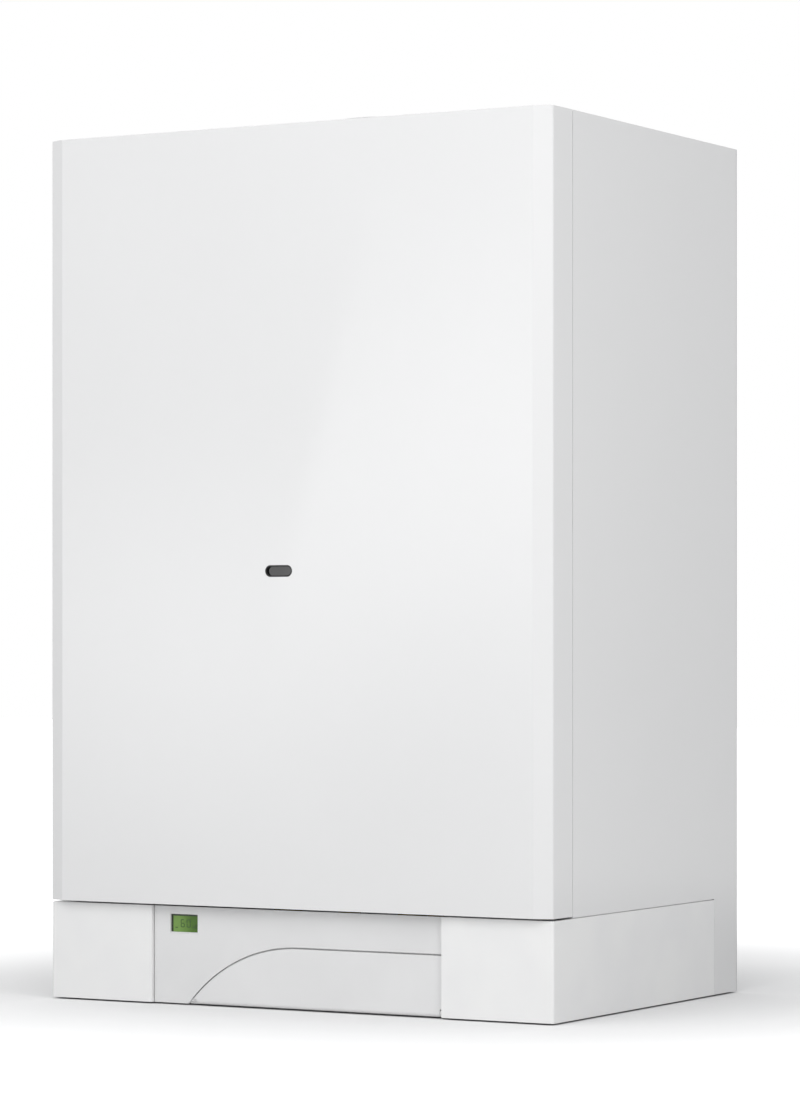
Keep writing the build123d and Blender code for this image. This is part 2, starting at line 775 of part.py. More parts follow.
def make_burner_manifold():
    """The gas rail with one injector for each bar."""
    y1 = cell_front_y
    y0 = y1 - 14.0
    z = burner_z + 10.0
    rail = block(-cell_half + 2, cell_half - 2, y0, y1, z - 7, z + 7)
    rail -= block(-cell_half + 4, cell_half - 4, y0 + 2, y1 - 2, z - 5, z + 5)
    for x in bar_places():
        rail += rod_y(x, z, y1, y1 + 5.0, 4.0)
        rail += Pos(x, y1 + 8.0, z) * Rot(-90, 0, 0) * Cone(3.0, 1.2, 6.0)
    for x in (-cell_half + 8, cell_half - 8):
        rail += block(x - 6, x + 6, y1, cell_front_y + 16.0, z - 6, z - 3)
    return rail


def make_chamber():
    """The combustion chamber's four sheet walls, open below and above."""
    chamber = block(-cell_half, cell_half, cell_front_y, -cell_back, chamber_z, exchanger_z)
    chamber -= block(-cell_half + cell_sheet, cell_half - cell_sheet, cell_front_y + cell_sheet,
                     -cell_back - cell_sheet, chamber_z - 1, exchanger_z + 1)
    chamber -= facing(SlotOverall(26, 18), sight_offset, sight_z, cell_front_y + 3, cell_front_y - 1)
    for x in electrode_places():
        chamber -= rod_y(x, chamber_z + 16.0, cell_front_y - 1, cell_front_y + 3, 4.2)
    return chamber


def electrode_places():
    """Where the two spark electrodes and the flame sensor pass through the chamber's front."""
    return [sight_offset + 40.0, sight_offset + 56.0, sight_offset - 46.0]


def make_insulation():
    """Ceramic fibre boards that line the chamber."""
    gap = 0.1
    x1 = cell_half - cell_sheet - gap
    y0 = cell_front_y + cell_sheet + gap
    y1 = -cell_back - cell_sheet - gap
    low, high = chamber_z, exchanger_z
    boards = [block(s * (x1 - insulation) if s > 0 else -x1, x1 if s > 0 else -x1 + insulation, y0, y1, low, high)
              for s in (-1, 1)]
    side = x1 - insulation
    front = block(-side, side, y0, y0 + insulation, low, high)
    front -= facing(SlotOverall(26, 18), sight_offset, sight_z, y0 + insulation + 1, y0 - 1)
    for x in electrode_places():
        front -= rod_y(x, chamber_z + 16.0, y0 - 1, y0 + insulation + 1, 6.0)
    boards.append(front)
    boards.append(block(-side, side, y1 - insulation, y1, low, high))
    return boards


def make_chamber_window():
    """The mica window on the chamber, in its screwed frame."""
    ring = SlotOverall(44, 30) - SlotOverall(22, 14)
    frame = facing(ring, sight_offset, sight_z, cell_front_y, cell_front_y - 3.0)
    frame += facing(SlotOverall(24, 16), sight_offset, sight_z, cell_front_y - 1.0, cell_front_y - 2.0)
    return frame


def make_electrode(x, lean):
    """A ceramic rod with a bent wire tip over the bars."""
    z = chamber_z + 16.0
    rod = rod_y(x, z, cell_front_y - 22.0, cell_front_y + 26.0, 3.6)
    rod += block(x - 7, x + 7, cell_front_y - 3.0, cell_front_y, z - 7, z + 7)
    rod += rod_y(x, z, cell_front_y - 30.0, cell_front_y - 22.0, 2.0)
    wire = pipe([(x, cell_front_y + 26.0, z), (x, cell_front_y + 40.0, z), (x + lean, cell_front_y + 50.0, z - 7.0)],
                4.0, 1.2, 0.6)
    return [rod, wire]


def make_heat_exchanger():
    """Copper fins on six water tubes between two end plates, with the bends that join the tubes outside them."""
    low, high = exchanger_z, hood_z
    y0, y1 = cell_front_y + cell_sheet, -cell_back - cell_sheet
    middle = (low + high) / 2
    ys = tube_places()
    fit = Compound([rod_x(y, middle, -cell_half - 1, cell_half + 1, water_tube_radius + tube_fit) for y in ys])
    pieces = [block(-cell_half, cell_half, cell_front_y, y0, low, high)]
    pieces.append(block(-cell_half, cell_half, y1, -cell_back, low, high))
    for side in (1, -1):
        x0, x1 = sorted((side * cell_half, side * (cell_half - end_plate)))
        pieces.append(block(x0, x1, y0, y1, low, high) - fit)
    step = (cell_width - 2 * end_plate) / (fin_count + 1)
    for i in range(fin_count):
        x = -cell_half + end_plate + step * (i + 1)
        pieces.append(block(x - fin_sheet / 2, x + fin_sheet / 2, y0, y1, low + 4, high - 4) - fit)
    bore = water_tube_radius - tube_wall
    for y in ys:
        tube = rod_x(y, middle, -cell_half, cell_half, water_tube_radius)
        pieces.append(tube - rod_x(y, middle, -cell_half - 1, cell_half + 1, bore))
    for i, side in enumerate((1, -1, 1, -1, 1)):
        pieces.append(return_bend(ys[i], ys[i + 1], side))
    return pieces + [end_nipple(ys[0], -1), end_nipple(ys[-1], 1)]


def tube_places():
    """The water tubes' places from the back to the front of the exchanger."""
    first = -cell_back - 22.0
    last = cell_front_y + 22.0
    step = (last - first) / (water_tube_count - 1)
    return [first + step * i for i in range(water_tube_count)]


def return_bend(y0, y1, side):
    """A hollow half-turn box that joins two neighbouring tubes outside the end plate."""
    z = (exchanger_z + hood_z) / 2
    outline = Pos(0, (y0 + y1) / 2) * Rectangle(bend_reach, y0 - y1 + 2 * water_tube_radius)
    x = side * (cell_half + bend_reach / 2)
    bend = extrude(Pos(x, 0, z - water_tube_radius) * outline, amount=2 * water_tube_radius)
    outer = bend.edges().filter_by(Axis.Z).sort_by(Axis.X)
    bend = fillet(outer[-2:] if side > 0 else outer[:2], 7.0)
    near, far = side * (cell_half - 1.0), side * (cell_half + 10.0)
    bore = water_tube_radius - tube_wall
    ways = [rod_x(y, z, min(near, far), max(near, far), bore) for y in (y0, y1)]
    near = side * (cell_half + 4.0)
    ways.append(block(min(near, far), max(near, far), y1, y0, z - 5.0, z + 5.0))
    return bend.cut(*ways)


def end_nipple(y, side):
    """The hollow block that turns a tube end down to its pipe."""
    x = side * nipple_offset
    z = (exchanger_z + hood_z) / 2
    inner = side * cell_half
    turn = block(min(inner, x), max(inner, x), y - 9, y + 9, z - 9, z + 9)
    turn += rod_z(x, y, exchanger_z + 10.0, z + 9.0, 11.0)
    near = side * (cell_half - 1.0)
    way = rod_x(y, z, min(near, x), max(near, x), water_tube_radius - tube_wall)
    return turn.cut(way, rod_z(x, y, exchanger_z, z, water_pipe - pipe_wall))


def make_flue_hood():
    """The sheet hood that gathers the flue gas and leads it up to the fan's inlet."""
    low, high = hood_z, hood_top_z
    y0, y1 = cell_front_y, -cell_back
    t = cell_sheet
    outer = block(-cell_half, cell_half, y0, y1, low, high)
    outer = chamfer(outer.faces().sort_by(Axis.Z)[-1].edges().sort_by(Axis.Y)[0], hood_slope)
    inner = block(-cell_half + t, cell_half - t, y0 + t, y1 - t, low - 1, high - t)
    inner = chamfer(inner.faces().sort_by(Axis.Z)[-1].edges().sort_by(Axis.Y)[0], hood_slope - 0.4 * t)
    throat = volute_radius - 4.0
    top = fan_z + volute_radius - 8.0
    outer += block(fan_x - throat, fan_x + throat, fan_back_y, y1, low, top)
    inner += block(fan_x - throat + t, fan_x + throat - t, fan_back_y + t, y1 - t, low - 1, top - t)
    return outer - inner - rod_y(fan_x, fan_z, fan_back_y - 1, fan_back_y + t + 1, fan_inlet)


def make_fan_housing():
    """The volute of the flue fan, with its round neck going up to the flue."""
    t = volute_wall
    y0, y1 = fan_front_y, fan_back_y
    neck_half = flue_radius - flue_wall + t
    outer = rod_y(fan_x, fan_z, y0, y1, volute_radius)
    shoulder_z = neck_top_z - neck_rise - 16.0
    outer += block(fan_x, neck_half, y0, y1, fan_z, shoulder_z)
    outer += rod_z(0, flue_y, fan_z, neck_top_z, neck_half)
    inner = rod_y(fan_x, fan_z, y0 + t, y1 - t, volute_radius - t)
    inner += block(fan_x, neck_half - t, y0 + t, y1 - t, fan_z, shoulder_z - t)
    inner += rod_z(0, flue_y, fan_z, neck_top_z + 1, flue_radius - flue_wall)
    housing = outer - inner
    housing -= rod_y(fan_x, fan_z, y1 - t - 1, y1 + 1, fan_inlet)
    return housing - rod_y(fan_x, fan_z, y0 - 1, y0 + t + 1, fan_shaft + 4.0)


def make_fan_impeller():
    """The fan wheel: a back disc, a shroud ring and curved-in blades, on its shaft."""
    y0 = fan_front_y + volute_wall + 6.0
    y1 = y0 + impeller_width
    disc = rod_y(fan_x, fan_z, y0, y0 + 2.0, impeller_radius)
    ring = rod_y(fan_x, fan_z, y1 - 1.5, y1, impeller_radius)
    ring -= rod_y(fan_x, fan_z, y1 - 3, y1 + 1, impeller_radius - 14.0)
    hub = rod_y(fan_x, fan_z, y0, y0 + 14.0, 9.0)
    blade = Pos(0, (y0 + y1) / 2, impeller_radius - 8.5) * Rot(0, 30, 0) * Box(1.2, impeller_width - 1.0, 15.0)
    blades = [Pos(fan_x, 0, fan_z) * Rot(0, 360 / impeller_blades * i, 0) * blade for i in range(impeller_blades)]
    wheel = disc.fuse(ring, hub, *blades)
    return wheel + rod_y(fan_x, fan_z, fan_front_y - 22.0, y0 + 14.0, fan_shaft)


def make_fan_motor():
    """The fan's finned motor on four feet in front of the volute."""
    y1 = fan_front_y
    y0 = y1 - 8.0 - fan_motor_length
    motor = rod_y(fan_x, fan_z, y0, y1 - 8.0, fan_motor_radius)
    motor = fillet(motor.faces().sort_by(Axis.Y)[0].edges(), 5.0)
    fin = Pos(0, (y0 + y1 - 8.0) / 2, fan_motor_radius) * Box(2.0, fan_motor_length - 14.0, 3.0)
    foot = Pos(0, y1 - 5.0, fan_motor_radius - 6.0) * Rot(90, 0, 0) * Cylinder(4.0, 10.0)
    for i in range(12):
        motor += Pos(fan_x, 0, fan_z) * Rot(0, 30 * i, 0) * fin
    for angle in (45, 135, 225, 315):
        motor += Pos(fan_x, 0, fan_z) * Rot(0, angle, 0) * foot
    return motor - rod_y(fan_x, fan_z, y1 - 26.0, y1, fan_shaft + running_gap)


def make_flue_duct():
    """The flue tube that stands on the fan's neck, widened above into the socket for the flue pipe."""
    top = top_z + collar_rise - socket_drop
    stop = top - socket_depth
    duct = straight_pipe(0, flue_y, neck_top_z, stop, flue_radius, flue_wall)
    bore = flue_radius + socket_gap
    socket = rod_z(0, flue_y, stop - socket_stop, top, bore + flue_wall) - rod_z(0, flue_y, stop, top + 1, bore)
    duct += socket - rod_z(0, flue_y, stop - socket_stop - 1, stop + 1, flue_radius - flue_wall)
    band = straight_pipe(0, flue_y, neck_top_z - neck_rise + 1.0, neck_top_z + 9.0, flue_radius + 3.0, 2.0)
    web = straight_pipe(0, flue_y, neck_top_z + 2.0, neck_top_z + 6.0, flue_radius + 2.0, 2.5)
    return duct + band + web


def make_flue_collar():
    """The air collar on the top cover, round the flue socket."""
    top = top_z + collar_rise
    plate_top = top_z + 2.0
    collar = rod_z(0, flue_y, top_z, plate_top, collar_flange) + rod_z(0, flue_y, top_z, top, air_radius + collar_wall)
    collar -= rod_z(0, flue_y, top_z - 1, top + 1, air_radius)
    for x, y in cover_screw_places():
        collar -= rod_z(x, y, top_z - 1, plate_top + 1, 2.2)
    return collar


def make_collar_screws():
    """Four screws that hold the flue collar down."""
    screw = pan_screw(6.0, 3.8, 2.4, 1.9)
    return [Pos(x, y, top_z + 2.0) * screw for x, y in cover_screw_places()]


def make_pressure_switch():
    """The air pressure switch that proves the fan, on its stud."""
    x, z = half_width - 62.0, hood_z + 40.0
    switch = rod_y(x, z, -46.0, -22.0, 29.0)
    switch = fillet(switch.faces().sort_by(Axis.Y)[0].edges(), 3.0)
    switch += rod_y(x, z, -22.0, -back_sheet, 7.0)
    for dx in (-9, 9):
        switch += rod_y(x + dx, z, -58.0, -46.0, 2.6)
    return switch + block(x - 14, x + 14, -40.0, -26.0, z - 38.0, z - 27.0)


def make_ignition_module():
    """The spark generator on the back plate."""
    x, z = -half_width + 66.0, hood_z + 40.0
    module = block(x - 30, x + 30, -42.0, -back_sheet, z - 24, z + 24)
    module = fillet(module.edges().filter_by(Axis.Y), 3.0)
    for dx in (-16, 0, 16):
        module += rod_z(x + dx, -22.0, z - 34.0, z - 24.0, 4.0)
    return module


def vessel_form(inset):
    """The vessel's flat round form, drawn in by the wall."""
    r, d = vessel_radius - inset, vessel_depth - inset
    neck = 46.0
    profile = Polyline(
        (0, inset), (neck, inset), (neck + 8, 5 + inset), (r - 34, 12 + inset), (r - 6, 32 + inset),
        (r - 3, vessel_depth / 2 - 4 + inset), (r, vessel_depth / 2 - 4 + inset), (r, vessel_depth / 2 + 4 - inset),
        (r - 3, vessel_depth / 2 + 4 - inset), (r - 6, d - 30), (r - 30, d - 10), (neck + 16, d - 3), (0, d),
        close=True)
    form = revolve(make_face(profile), axis=Axis.Y, revolution_arc=360)
    return Pos(0, -back_sheet, vessel_z) * Rot(0, 0, 180) * form


def make_expansion_vessel():
    """A flat round steel vessel on the back plate: two pressed halves with the diaphragm between them."""
    shell = vessel_form(0) - vessel_form(vessel_wall)
    middle = -back_sheet - vessel_depth / 2
    reach = vessel_radius + 5
    front = block(-reach, reach, middle - vessel_depth, middle - 0.8, vessel_z - reach, vessel_z + reach)
    rear = block(-reach, reach, middle + 0.8, middle + vessel_depth, vessel_z - reach, vessel_z + reach)
    diaphragm = rod_y(0, vessel_z, middle - 0.8, middle + 0.8, vessel_radius)
    return [shell & front, diaphragm, shell & rear]


def make_vessel_pipe():
    """The thin pipe from the vessel's rim down and forwards to the return group."""
    x = tail_xs[3] - 5.0
    y = -back_sheet - vessel_depth / 2
    start = vessel_z - sqrt((vessel_radius) ** 2 - x ** 2) - 8.0
    z = floor_z + 20.0
    return pipe([(x, y, start), (x, y, z), (x, -group_back, z)], 16.0, vessel_pipe, pipe_wall)


def make_vessel_union():
    """The nut that joins the thin pipe to the vessel's rim."""
    x = tail_xs[3] - 5.0
    y = -back_sheet - vessel_depth / 2
    low = vessel_z - sqrt((vessel_radius) ** 2 - x ** 2) - 8.0
    nut = hex_z(x, y, low, low + 24.0, 9.0)
    rim = Pos(0, y, vessel_z) * Rot(90, 0, 0) * Cylinder(vessel_radius + 0.05, 60.0)
    return nut - rim


# Water and gas


def make_tail(x, radius):
    """A threaded pipe end below the casing floor, with its backnut."""
    tail = rod_z(x, tails_y, base_z + tail_end, floor_z, radius)
    tail += hex_z(x, tails_y, under_z - backnut_height, under_z, radius + backnut_margin)
    return tail - rod_z(x, tails_y, base_z + tail_end - 1, floor_z + 1, radius - tail_wall)


def make_group(side):
    """The hollow brass group on one side that joins two connections."""
    x0, x1 = sorted((side * 42.0, side * (42.0 + group_length)))
    body = block(x0, x1, -group_front, -group_back, floor_z, group_top_z)
    body = fillet(body.edges().filter_by(Axis.Z), 10.0)
    w = group_wall
    chamber = block(x0 + w, x1 - w, tails_y - 24.0, -group_back - w, floor_z + w, group_top_z - w)
    body -= chamber
    for x, radius in zip(tail_xs, tail_radii):
        if x * side > 0:
            body -= rod_z(x, tails_y, floor_z - 1, floor_z + w + 1, radius - tail_wall)
    return body


def make_flow_group():
    """The left group, with the diverter valve's barrel on top."""
    body = make_group(-1)
    x, y = tail_xs[0], -(group_front - 28.0)
    body -= rod_z(-nipple_offset - 14.0, tube_places()[0], group_top_z - group_wall - 1, group_top_z + 1,
                  water_pipe - pipe_wall)
    body += rod_z(x, y, group_top_z, group_top_z + 34.0, 20.0)
    return body + hex_z(x, y, group_top_z + 34.0, group_top_z + 42.0, 17.0)


def make_diverter_motor():
    """The actuator on the diverter valve."""
    x, y = tail_xs[0], -(group_front - 28.0)
    z = group_top_z + 42.0
    motor = block(x - 24, x + 24, y - 26, y + 22, z, z + 46.0)
    motor = fillet(motor.edges().filter_by(Axis.Z), 6.0)
    return motor + block(x - 10, x + 10, y - 34, y - 26, z + 8, z + 22)


def make_return_group():
    """The right group, with the bores of the filling valve."""
    body = make_group(1)
    body -= rod_z(pump_x, (pump_front_y + pump_back_y) / 2, group_top_z - group_wall - 1, group_top_z + 1, 12.0)
    return body - rod_z(filling_x, filling_y, floor_z - 1, floor_z + 14.0, 5.0 + running_gap)


def make_filling_knob():
    """The filling valve's knob under the casing, on its spindle."""
    z1 = under_z - 14.0
    z0 = z1 - 18.0
    knob = rod_z(filling_x, filling_y, z0, z1, 11.0)
    for i in range(8):
        angle = radians(45 * i)
        knob -= rod_z(filling_x + 12.5 * cos(angle), filling_y + 12.5 * sin(angle), z0 - 1, z1 + 1, 3.2)
    knob = chamfer(knob.faces().sort_by(Axis.Z)[0].edges(), 0.8)
    return knob + rod_z(filling_x, filling_y, z1, floor_z + 12.0, 5.0)


def make_plate_exchanger():
    """The stack of brazed plates between the two groups, on four feet."""
    x0, x1 = -95.0, pump_x - pump_radius - 12.0
    y0, y1 = -178.0, -122.0
    low = group_top_z
    stack = block(x0, x1, y0, y1, low + 6.0, low + 6.0 + plate_pack_height)
    stack = fillet(stack.edges().filter_by(Axis.Z), 12.0)
    step = plate_pack_height / plate_count
    grooves = []
    for i in range(1, plate_count):
        z = low + 6.0 + step * i
        ring = block(x0 - 1, x1 + 1, y0 - 1, y1 + 1, z - 0.5, z + 0.5)
        inner = fillet(block(x0 + 1.2, x1 - 1.2, y0 + 1.2, y1 - 1.2, z - 1, z + 1).edges().filter_by(Axis.Z), 11.0)
        grooves.append(ring - inner)
    stack = stack.cut(*grooves)
    feet = []
    for x in (x0 + 16.0, x1 - 16.0):
        for y in (y0 + 14.0, y1 - 14.0):
            feet.append(rod_z(x, y, low, low + 6.0, 8.0))
    return stack.fuse(*feet)


def make_pump_body():
    """The pump's volute, standing on the return group."""
    z = pump_z
    body = rod_y(pump_x, z, pump_front_y, pump_back_y, pump_radius)
    body += rod_z(pump_x, (pump_front_y + pump_back_y) / 2, group_top_z, z, 17.0)
    body += rod_z(pump_x, tube_places()[0] - 10.0, z, z + pump_radius + 8.0, 14.0)
    body -= rod_z(pump_x, (pump_front_y + pump_back_y) / 2, group_top_z - 1, z, 12.0)
    body -= rod_z(pump_x, tube_places()[0] - 10.0, z, z + pump_radius + 9.0, water_pipe - pipe_wall)
    body -= rod_y(pump_x, z, pump_front_y - 1, pump_front_y + 30.0, pump_radius - 8.0)
    return body - rod_y(pump_x, z, pump_front_y, pump_back_y - 8.0, 12.0)


def make_pump_motor():
    """The pump's wet motor, with a finned can and its terminal box."""
    y1 = pump_front_y
    y0 = y1 - pump_motor_length
    motor = rod_y(pump_x, pump_z, y1 - 8.0, y1, pump_radius + 2.0)
    motor += rod_y(pump_x, pump_z, y0, y1 - 8.0, pump_radius - 6.0)
    for i in range(20):
        fin = Pos(0, 0, pump_radius - 5.0) * Box(1.6, pump_motor_length - 26.0, 6.0)
        motor += Pos(pump_x, (y0 + y1) / 2, pump_z) * Rot(0, 18 * i, 0) * fin
    motor += block(pump_x + 10, pump_x + 52, y0 + 14, y1 - 14, pump_z - 18, pump_z + 26)
    motor -= rod_y(pump_x, pump_z, y1 - 24.0, y1 + 1, pump_shaft + running_gap)
    return motor - rod_y(pump_x, pump_z, y0 - 1, y0 + 3.0, 8.0)


def make_pump_impeller():
    """The pump's wheel on its shaft."""
    radius = pump_radius - 8.0 - impeller_gap
    y0 = pump_front_y + 6.0
    wheel = rod_y(pump_x, pump_z, y0, y0 + 2.5, radius)
    wheel += rod_y(pump_x, pump_z, y0 + 11.0, y0 + 13.0, radius)
    wheel -= rod_y(pump_x, pump_z, y0 + 10.0, y0 + 14.0, 11.0)
    for i in range(7):
        vane = Pos(0, 0, radius * 0.62) * Rot(0, 35, 0) * Box(1.6, 9.0, radius * 0.66)
        wheel += Pos(pump_x, y0 + 6.75, pump_z) * Rot(0, 360 / 7 * i, 0) * vane
    wheel += rod_y(pump_x, pump_z, y0, y0 + 9.0, 6.5)
    return wheel + rod_y(pump_x, pump_z, pump_front_y - 20.0, y0, pump_shaft)


def make_flow_pipe():
    """The hot pipe from the heat exchanger down to the flow group."""
    x, y = -nipple_offset, tube_places()[0]
    low = group_top_z
    top = exchanger_z + 10.0
    points = [(x - 14.0, y, low), (x - 14.0, y, low + 90.0), (x, y, low + 160.0), (x, y, top)]
    return pipe(points, pipe_bend, water_pipe, pipe_wall)


def make_return_pipe():
    """The cooler pipe from the pump up to the heat exchanger."""
    x = nipple_offset
    y0, y1 = tube_places()[0] - 10.0, tube_places()[-1]
    low = pump_z + pump_radius + 8.0
    top = exchanger_z + 10.0
    side = return_side_x()
    points = [
        (x, y0, low), (x, y0, low + 60.0), (side, y0 - 20.0, low + 110.0), (side, y1, top - 95.0),
        (x, y1, top - 50.0), (x, y1, top),
    ]
    return pipe(points, pipe_bend, water_pipe, pipe_wall)


def return_side_x():
    """How far to the right the return pipe passes the burner."""
    return half_width - 70.0


def make_gas_pipe_lower():
    """The gas pipe from the connection forwards and up to the gas valve."""
    z = floor_z + 24.0
    y1 = valve_y()
    points = [(0, tails_y, floor_z), (0, tails_y, z), (0, y1, z), (0, y1, valve_base())]
    return pipe(points, 16.0, gas_pipe, pipe_wall)


def make_gas_pipe_upper():
    """The gas pipe from the valve up to the burner's rail."""
    y0 = valve_y()
    y1 = cell_front_y - 7.0
    low = valve_base() + valve_height
    high = burner_z + 3.0
    mid = (low + high) / 2 + 6.0
    points = [(0, y0, low), (0, y0, mid), (0, y1, mid), (0, y1, high)]
    return pipe(points, 16.0, gas_pipe, pipe_wall)


def valve_y():
    """The gas valve's centre line."""
    return -(group_front + 22.0)


def valve_base():
    """The height of the gas valve's lower face."""
    return group_top_z + 18.0


def make_gas_valve():
    """The gas valve: a cast body with two solenoids and a regulator."""
    x0, x1 = -valve_width / 2, valve_width / 2
    y0, y1 = valve_y() - valve_depth / 2, valve_y() + valve_depth / 2
    low, high = valve_base(), valve_base() + valve_height
    body = block(x0, x1, y0, y1, low, high)
    body = chamfer(body.edges().filter_by(Axis.Z), 6.0)
    body += rod_y(-14, low + 48.0, y0 - 24.0, y0, 13.0)
    body += rod_y(18, low + 22.0, y0 - 18.0, y0, 11.0)
    body += rod_x(valve_y(), low + 40.0, x1, x1 + 16.0, 15.0)
    return body + block(x0 - 12.0, x0, valve_y() - 16, valve_y() + 16, low + 12, low + 52)


def make_pipe_nuts():
    """Union nuts where the pipes meet the groups, the exchanger and the gas parts."""
    y = tube_places()[0]
    pump_pipe_z = pump_z + pump_radius + 8.0
    nipple_z = exchanger_z + 10.0
    return [
        ring_nut(-nipple_offset - 14.0, y, group_top_z, group_top_z + nut_height, water_pipe, water_pipe + nut_margin),
        ring_nut(-nipple_offset, y, nipple_z - nut_height, nipple_z, water_pipe, water_pipe + nut_margin),
        ring_nut(nipple_offset, y - 10.0, pump_pipe_z, pump_pipe_z + nut_height, water_pipe, water_pipe + nut_margin),
        ring_nut(nipple_offset, tube_places()[-1], nipple_z - nut_height, nipple_z, water_pipe,
                 water_pipe + nut_margin),
        ring_nut(0, tails_y, floor_z, floor_z + 8.0, gas_pipe, large_tail + 3.0),
        ring_nut(0, valve_y(), valve_base() - nut_height, valve_base(), gas_pipe, gas_pipe + nut_margin),
        ring_nut(0, valve_y(), valve_base() + valve_height, valve_base() + valve_height + nut_height, gas_pipe,
                 gas_pipe + nut_margin),
        ring_nut(0, cell_front_y - 7.0, burner_z + 3.0 - nut_height, burner_z + 3.0, gas_pipe, gas_pipe + 3.0),
    ]


def make_relief_valve():
    """The safety valve on the return group, with its spout through the casing floor."""
    front = relief_y - 12.0
    neck_low = under_z - spout_shoulder
    spout_low = neck_low - spout_length
    valve = rod_y(relief_x, relief_z, front, -group_front, 11.0)
    valve += rod_z(relief_x, relief_y, spout_low, neck_low, spout_radius)
    valve += rod_z(relief_x, relief_y, neck_low, relief_z, spout_radius + 0.6)
    valve += rod_z(relief_x, relief_y, floor_z, floor_z + 8.0, 10.0)
    valve -= rod_z(relief_x, relief_y, spout_low - 1, relief_z - 4.0, spout_radius - 2.0)
    return valve - rod_y(relief_x, relief_z, front - 1, front + 8.0, 4.0 + running_gap)


def make_relief_knob():
    """The safety valve's red test knob, with its shaft in the valve."""
    back = relief_y - 12.0 - 0.5
    knob = rod_y(relief_x, relief_z, back - 15.0, back, 13.0)
    for i in range(6):
        angle = radians(60 * i)
        knob -= rod_y(relief_x + 15.0 * sin(angle), relief_z + 15.0 * cos(angle), back - 16.0, back + 1, 4.5)
    knob = chamfer(knob.faces().sort_by(Axis.Y)[0].edges(), 1.0)
    return knob + rod_y(relief_x, relief_z, back, back + 8.0, 4.0)


def make_air_vent():
    """The automatic air vent on the return group."""
    x, y = tail_xs[3] - 3.0, -(group_front - 15.0)
    vent = rod_z(x, y, group_top_z, group_top_z + 8.0, 8.0)
    vent += rod_z(x, y, group_top_z + 8.0, group_top_z + 48.0, 12.0)
    vent = fillet(vent.faces().sort_by(Axis.Z)[-1].edges(), 3.0)
    return vent + rod_z(x, y, group_top_z + 48.0, group_top_z + 56.0, 4.0)


def make_flow_sensor():
    """The water flow sensor in front of the cold inlet's side of the group."""
    x, z = tail_xs[4] + 2.0, floor_z + 22.0
    sensor = rod_y(x, z, -group_front - 26.0, -group_front, 11.0)
    return sensor + block(x - 9, x + 9, -group_front - 22.0, -group_front - 4.0, z, z + 19.0)


def make_temperature_sensors():
    """Clip-on sensors on the flow pipe and the exchanger's end."""
    x, y = -nipple_offset, tube_places()[0]
    z = exchanger_z - 40.0
    clip = rod_z(x, y, z, z + 12.0, water_pipe + 2.0) - rod_z(x, y, z - 1, z + 13.0, water_pipe + 0.1)
    clip += block(x - 4, x + 4, y - water_pipe - 12.0, y - water_pipe - 1.0, z, z + 12.0)
    low_z = pump_z + pump_radius + 8.0 + nut_height + 4.0
    clip2 = Pos(2 * nipple_offset, -10.0, low_z - z) * clip
    stat_y = tube_places()[0] - 27.0
    stat = block(-cell_half - 8.0, -cell_half, stat_y - 5.0, stat_y + 5.0, exchanger_z + 4.0, exchanger_z + 16.0)
    return [clip, clip2, stat]


def make_cable_gland():
    """The gland for the power cable, through the casing floor."""
    gland = hex_z(gland_x, gland_y, under_z - 18.0, under_z, 12.0)
    gland += rod_z(gland_x, gland_y, under_z - 26.0, under_z - 18.0, 9.5)
    gland += rod_z(gland_x, gland_y, under_z, floor_z + 12.0, 9.0)
    gland += hex_z(gland_x, gland_y, floor_z, floor_z + 6.0, 12.5)
    return gland - rod_z(gland_x, gland_y, under_z - 27.0, floor_z + 13.0, 4.2)


def build_casing():
    """Everything of sheet and plastic that encloses the boiler."""
    nodes["back_plate"] = make_back_plate()
    right_side, left_side = both_sides(make_side_panel())
    nodes["side_panel_right"] = right_side
    nodes["side_panel_left"] = left_side
    nodes["top_cover"] = make_top_cover()
    nodes["bottom_plate"] = make_bottom_plate()
    right_skirt, left_skirt = both_sides(make_skirt())
    nodes["skirt_right"] = right_skirt
    nodes["skirt_left"] = left_skirt
    nodes["casing_screws"] = solids_of(make_casing_screws() + make_collar_screws())
    nodes["door_seal"] = make_door_seal()
    nodes["front_panel"] = make_front_panel()
    nodes["sight_bezel"] = make_sight_bezel()
    nodes["sight_glass"] = make_sight_glass()
    nodes["cable_gland"] = make_cable_gland()


def build_controls():
    """The control box and all that is in it."""
    nodes["control_box"] = make_control_box()
    nodes["control_box_lid"] = make_box_lid()
    nodes["control_flap"] = make_flap()
    nodes["circuit_board"] = make_circuit_board()
    nodes["display_lens"] = make_display_lens()
    nodes["display_module"] = make_display_module()
    nodes["heating_knob"] = make_knob(knob_xs[0])
    nodes["hot_water_knob"] = make_knob(knob_xs[1])
    for name, x in zip(("reset_button", "mode_button"), button_xs):
        nodes[name] = make_button(x)
    nodes["pressure_gauge"] = make_gauge_body()
    nodes["gauge_needle"] = make_gauge_needle()
    nodes["gauge_lens"] = make_gauge_lens()


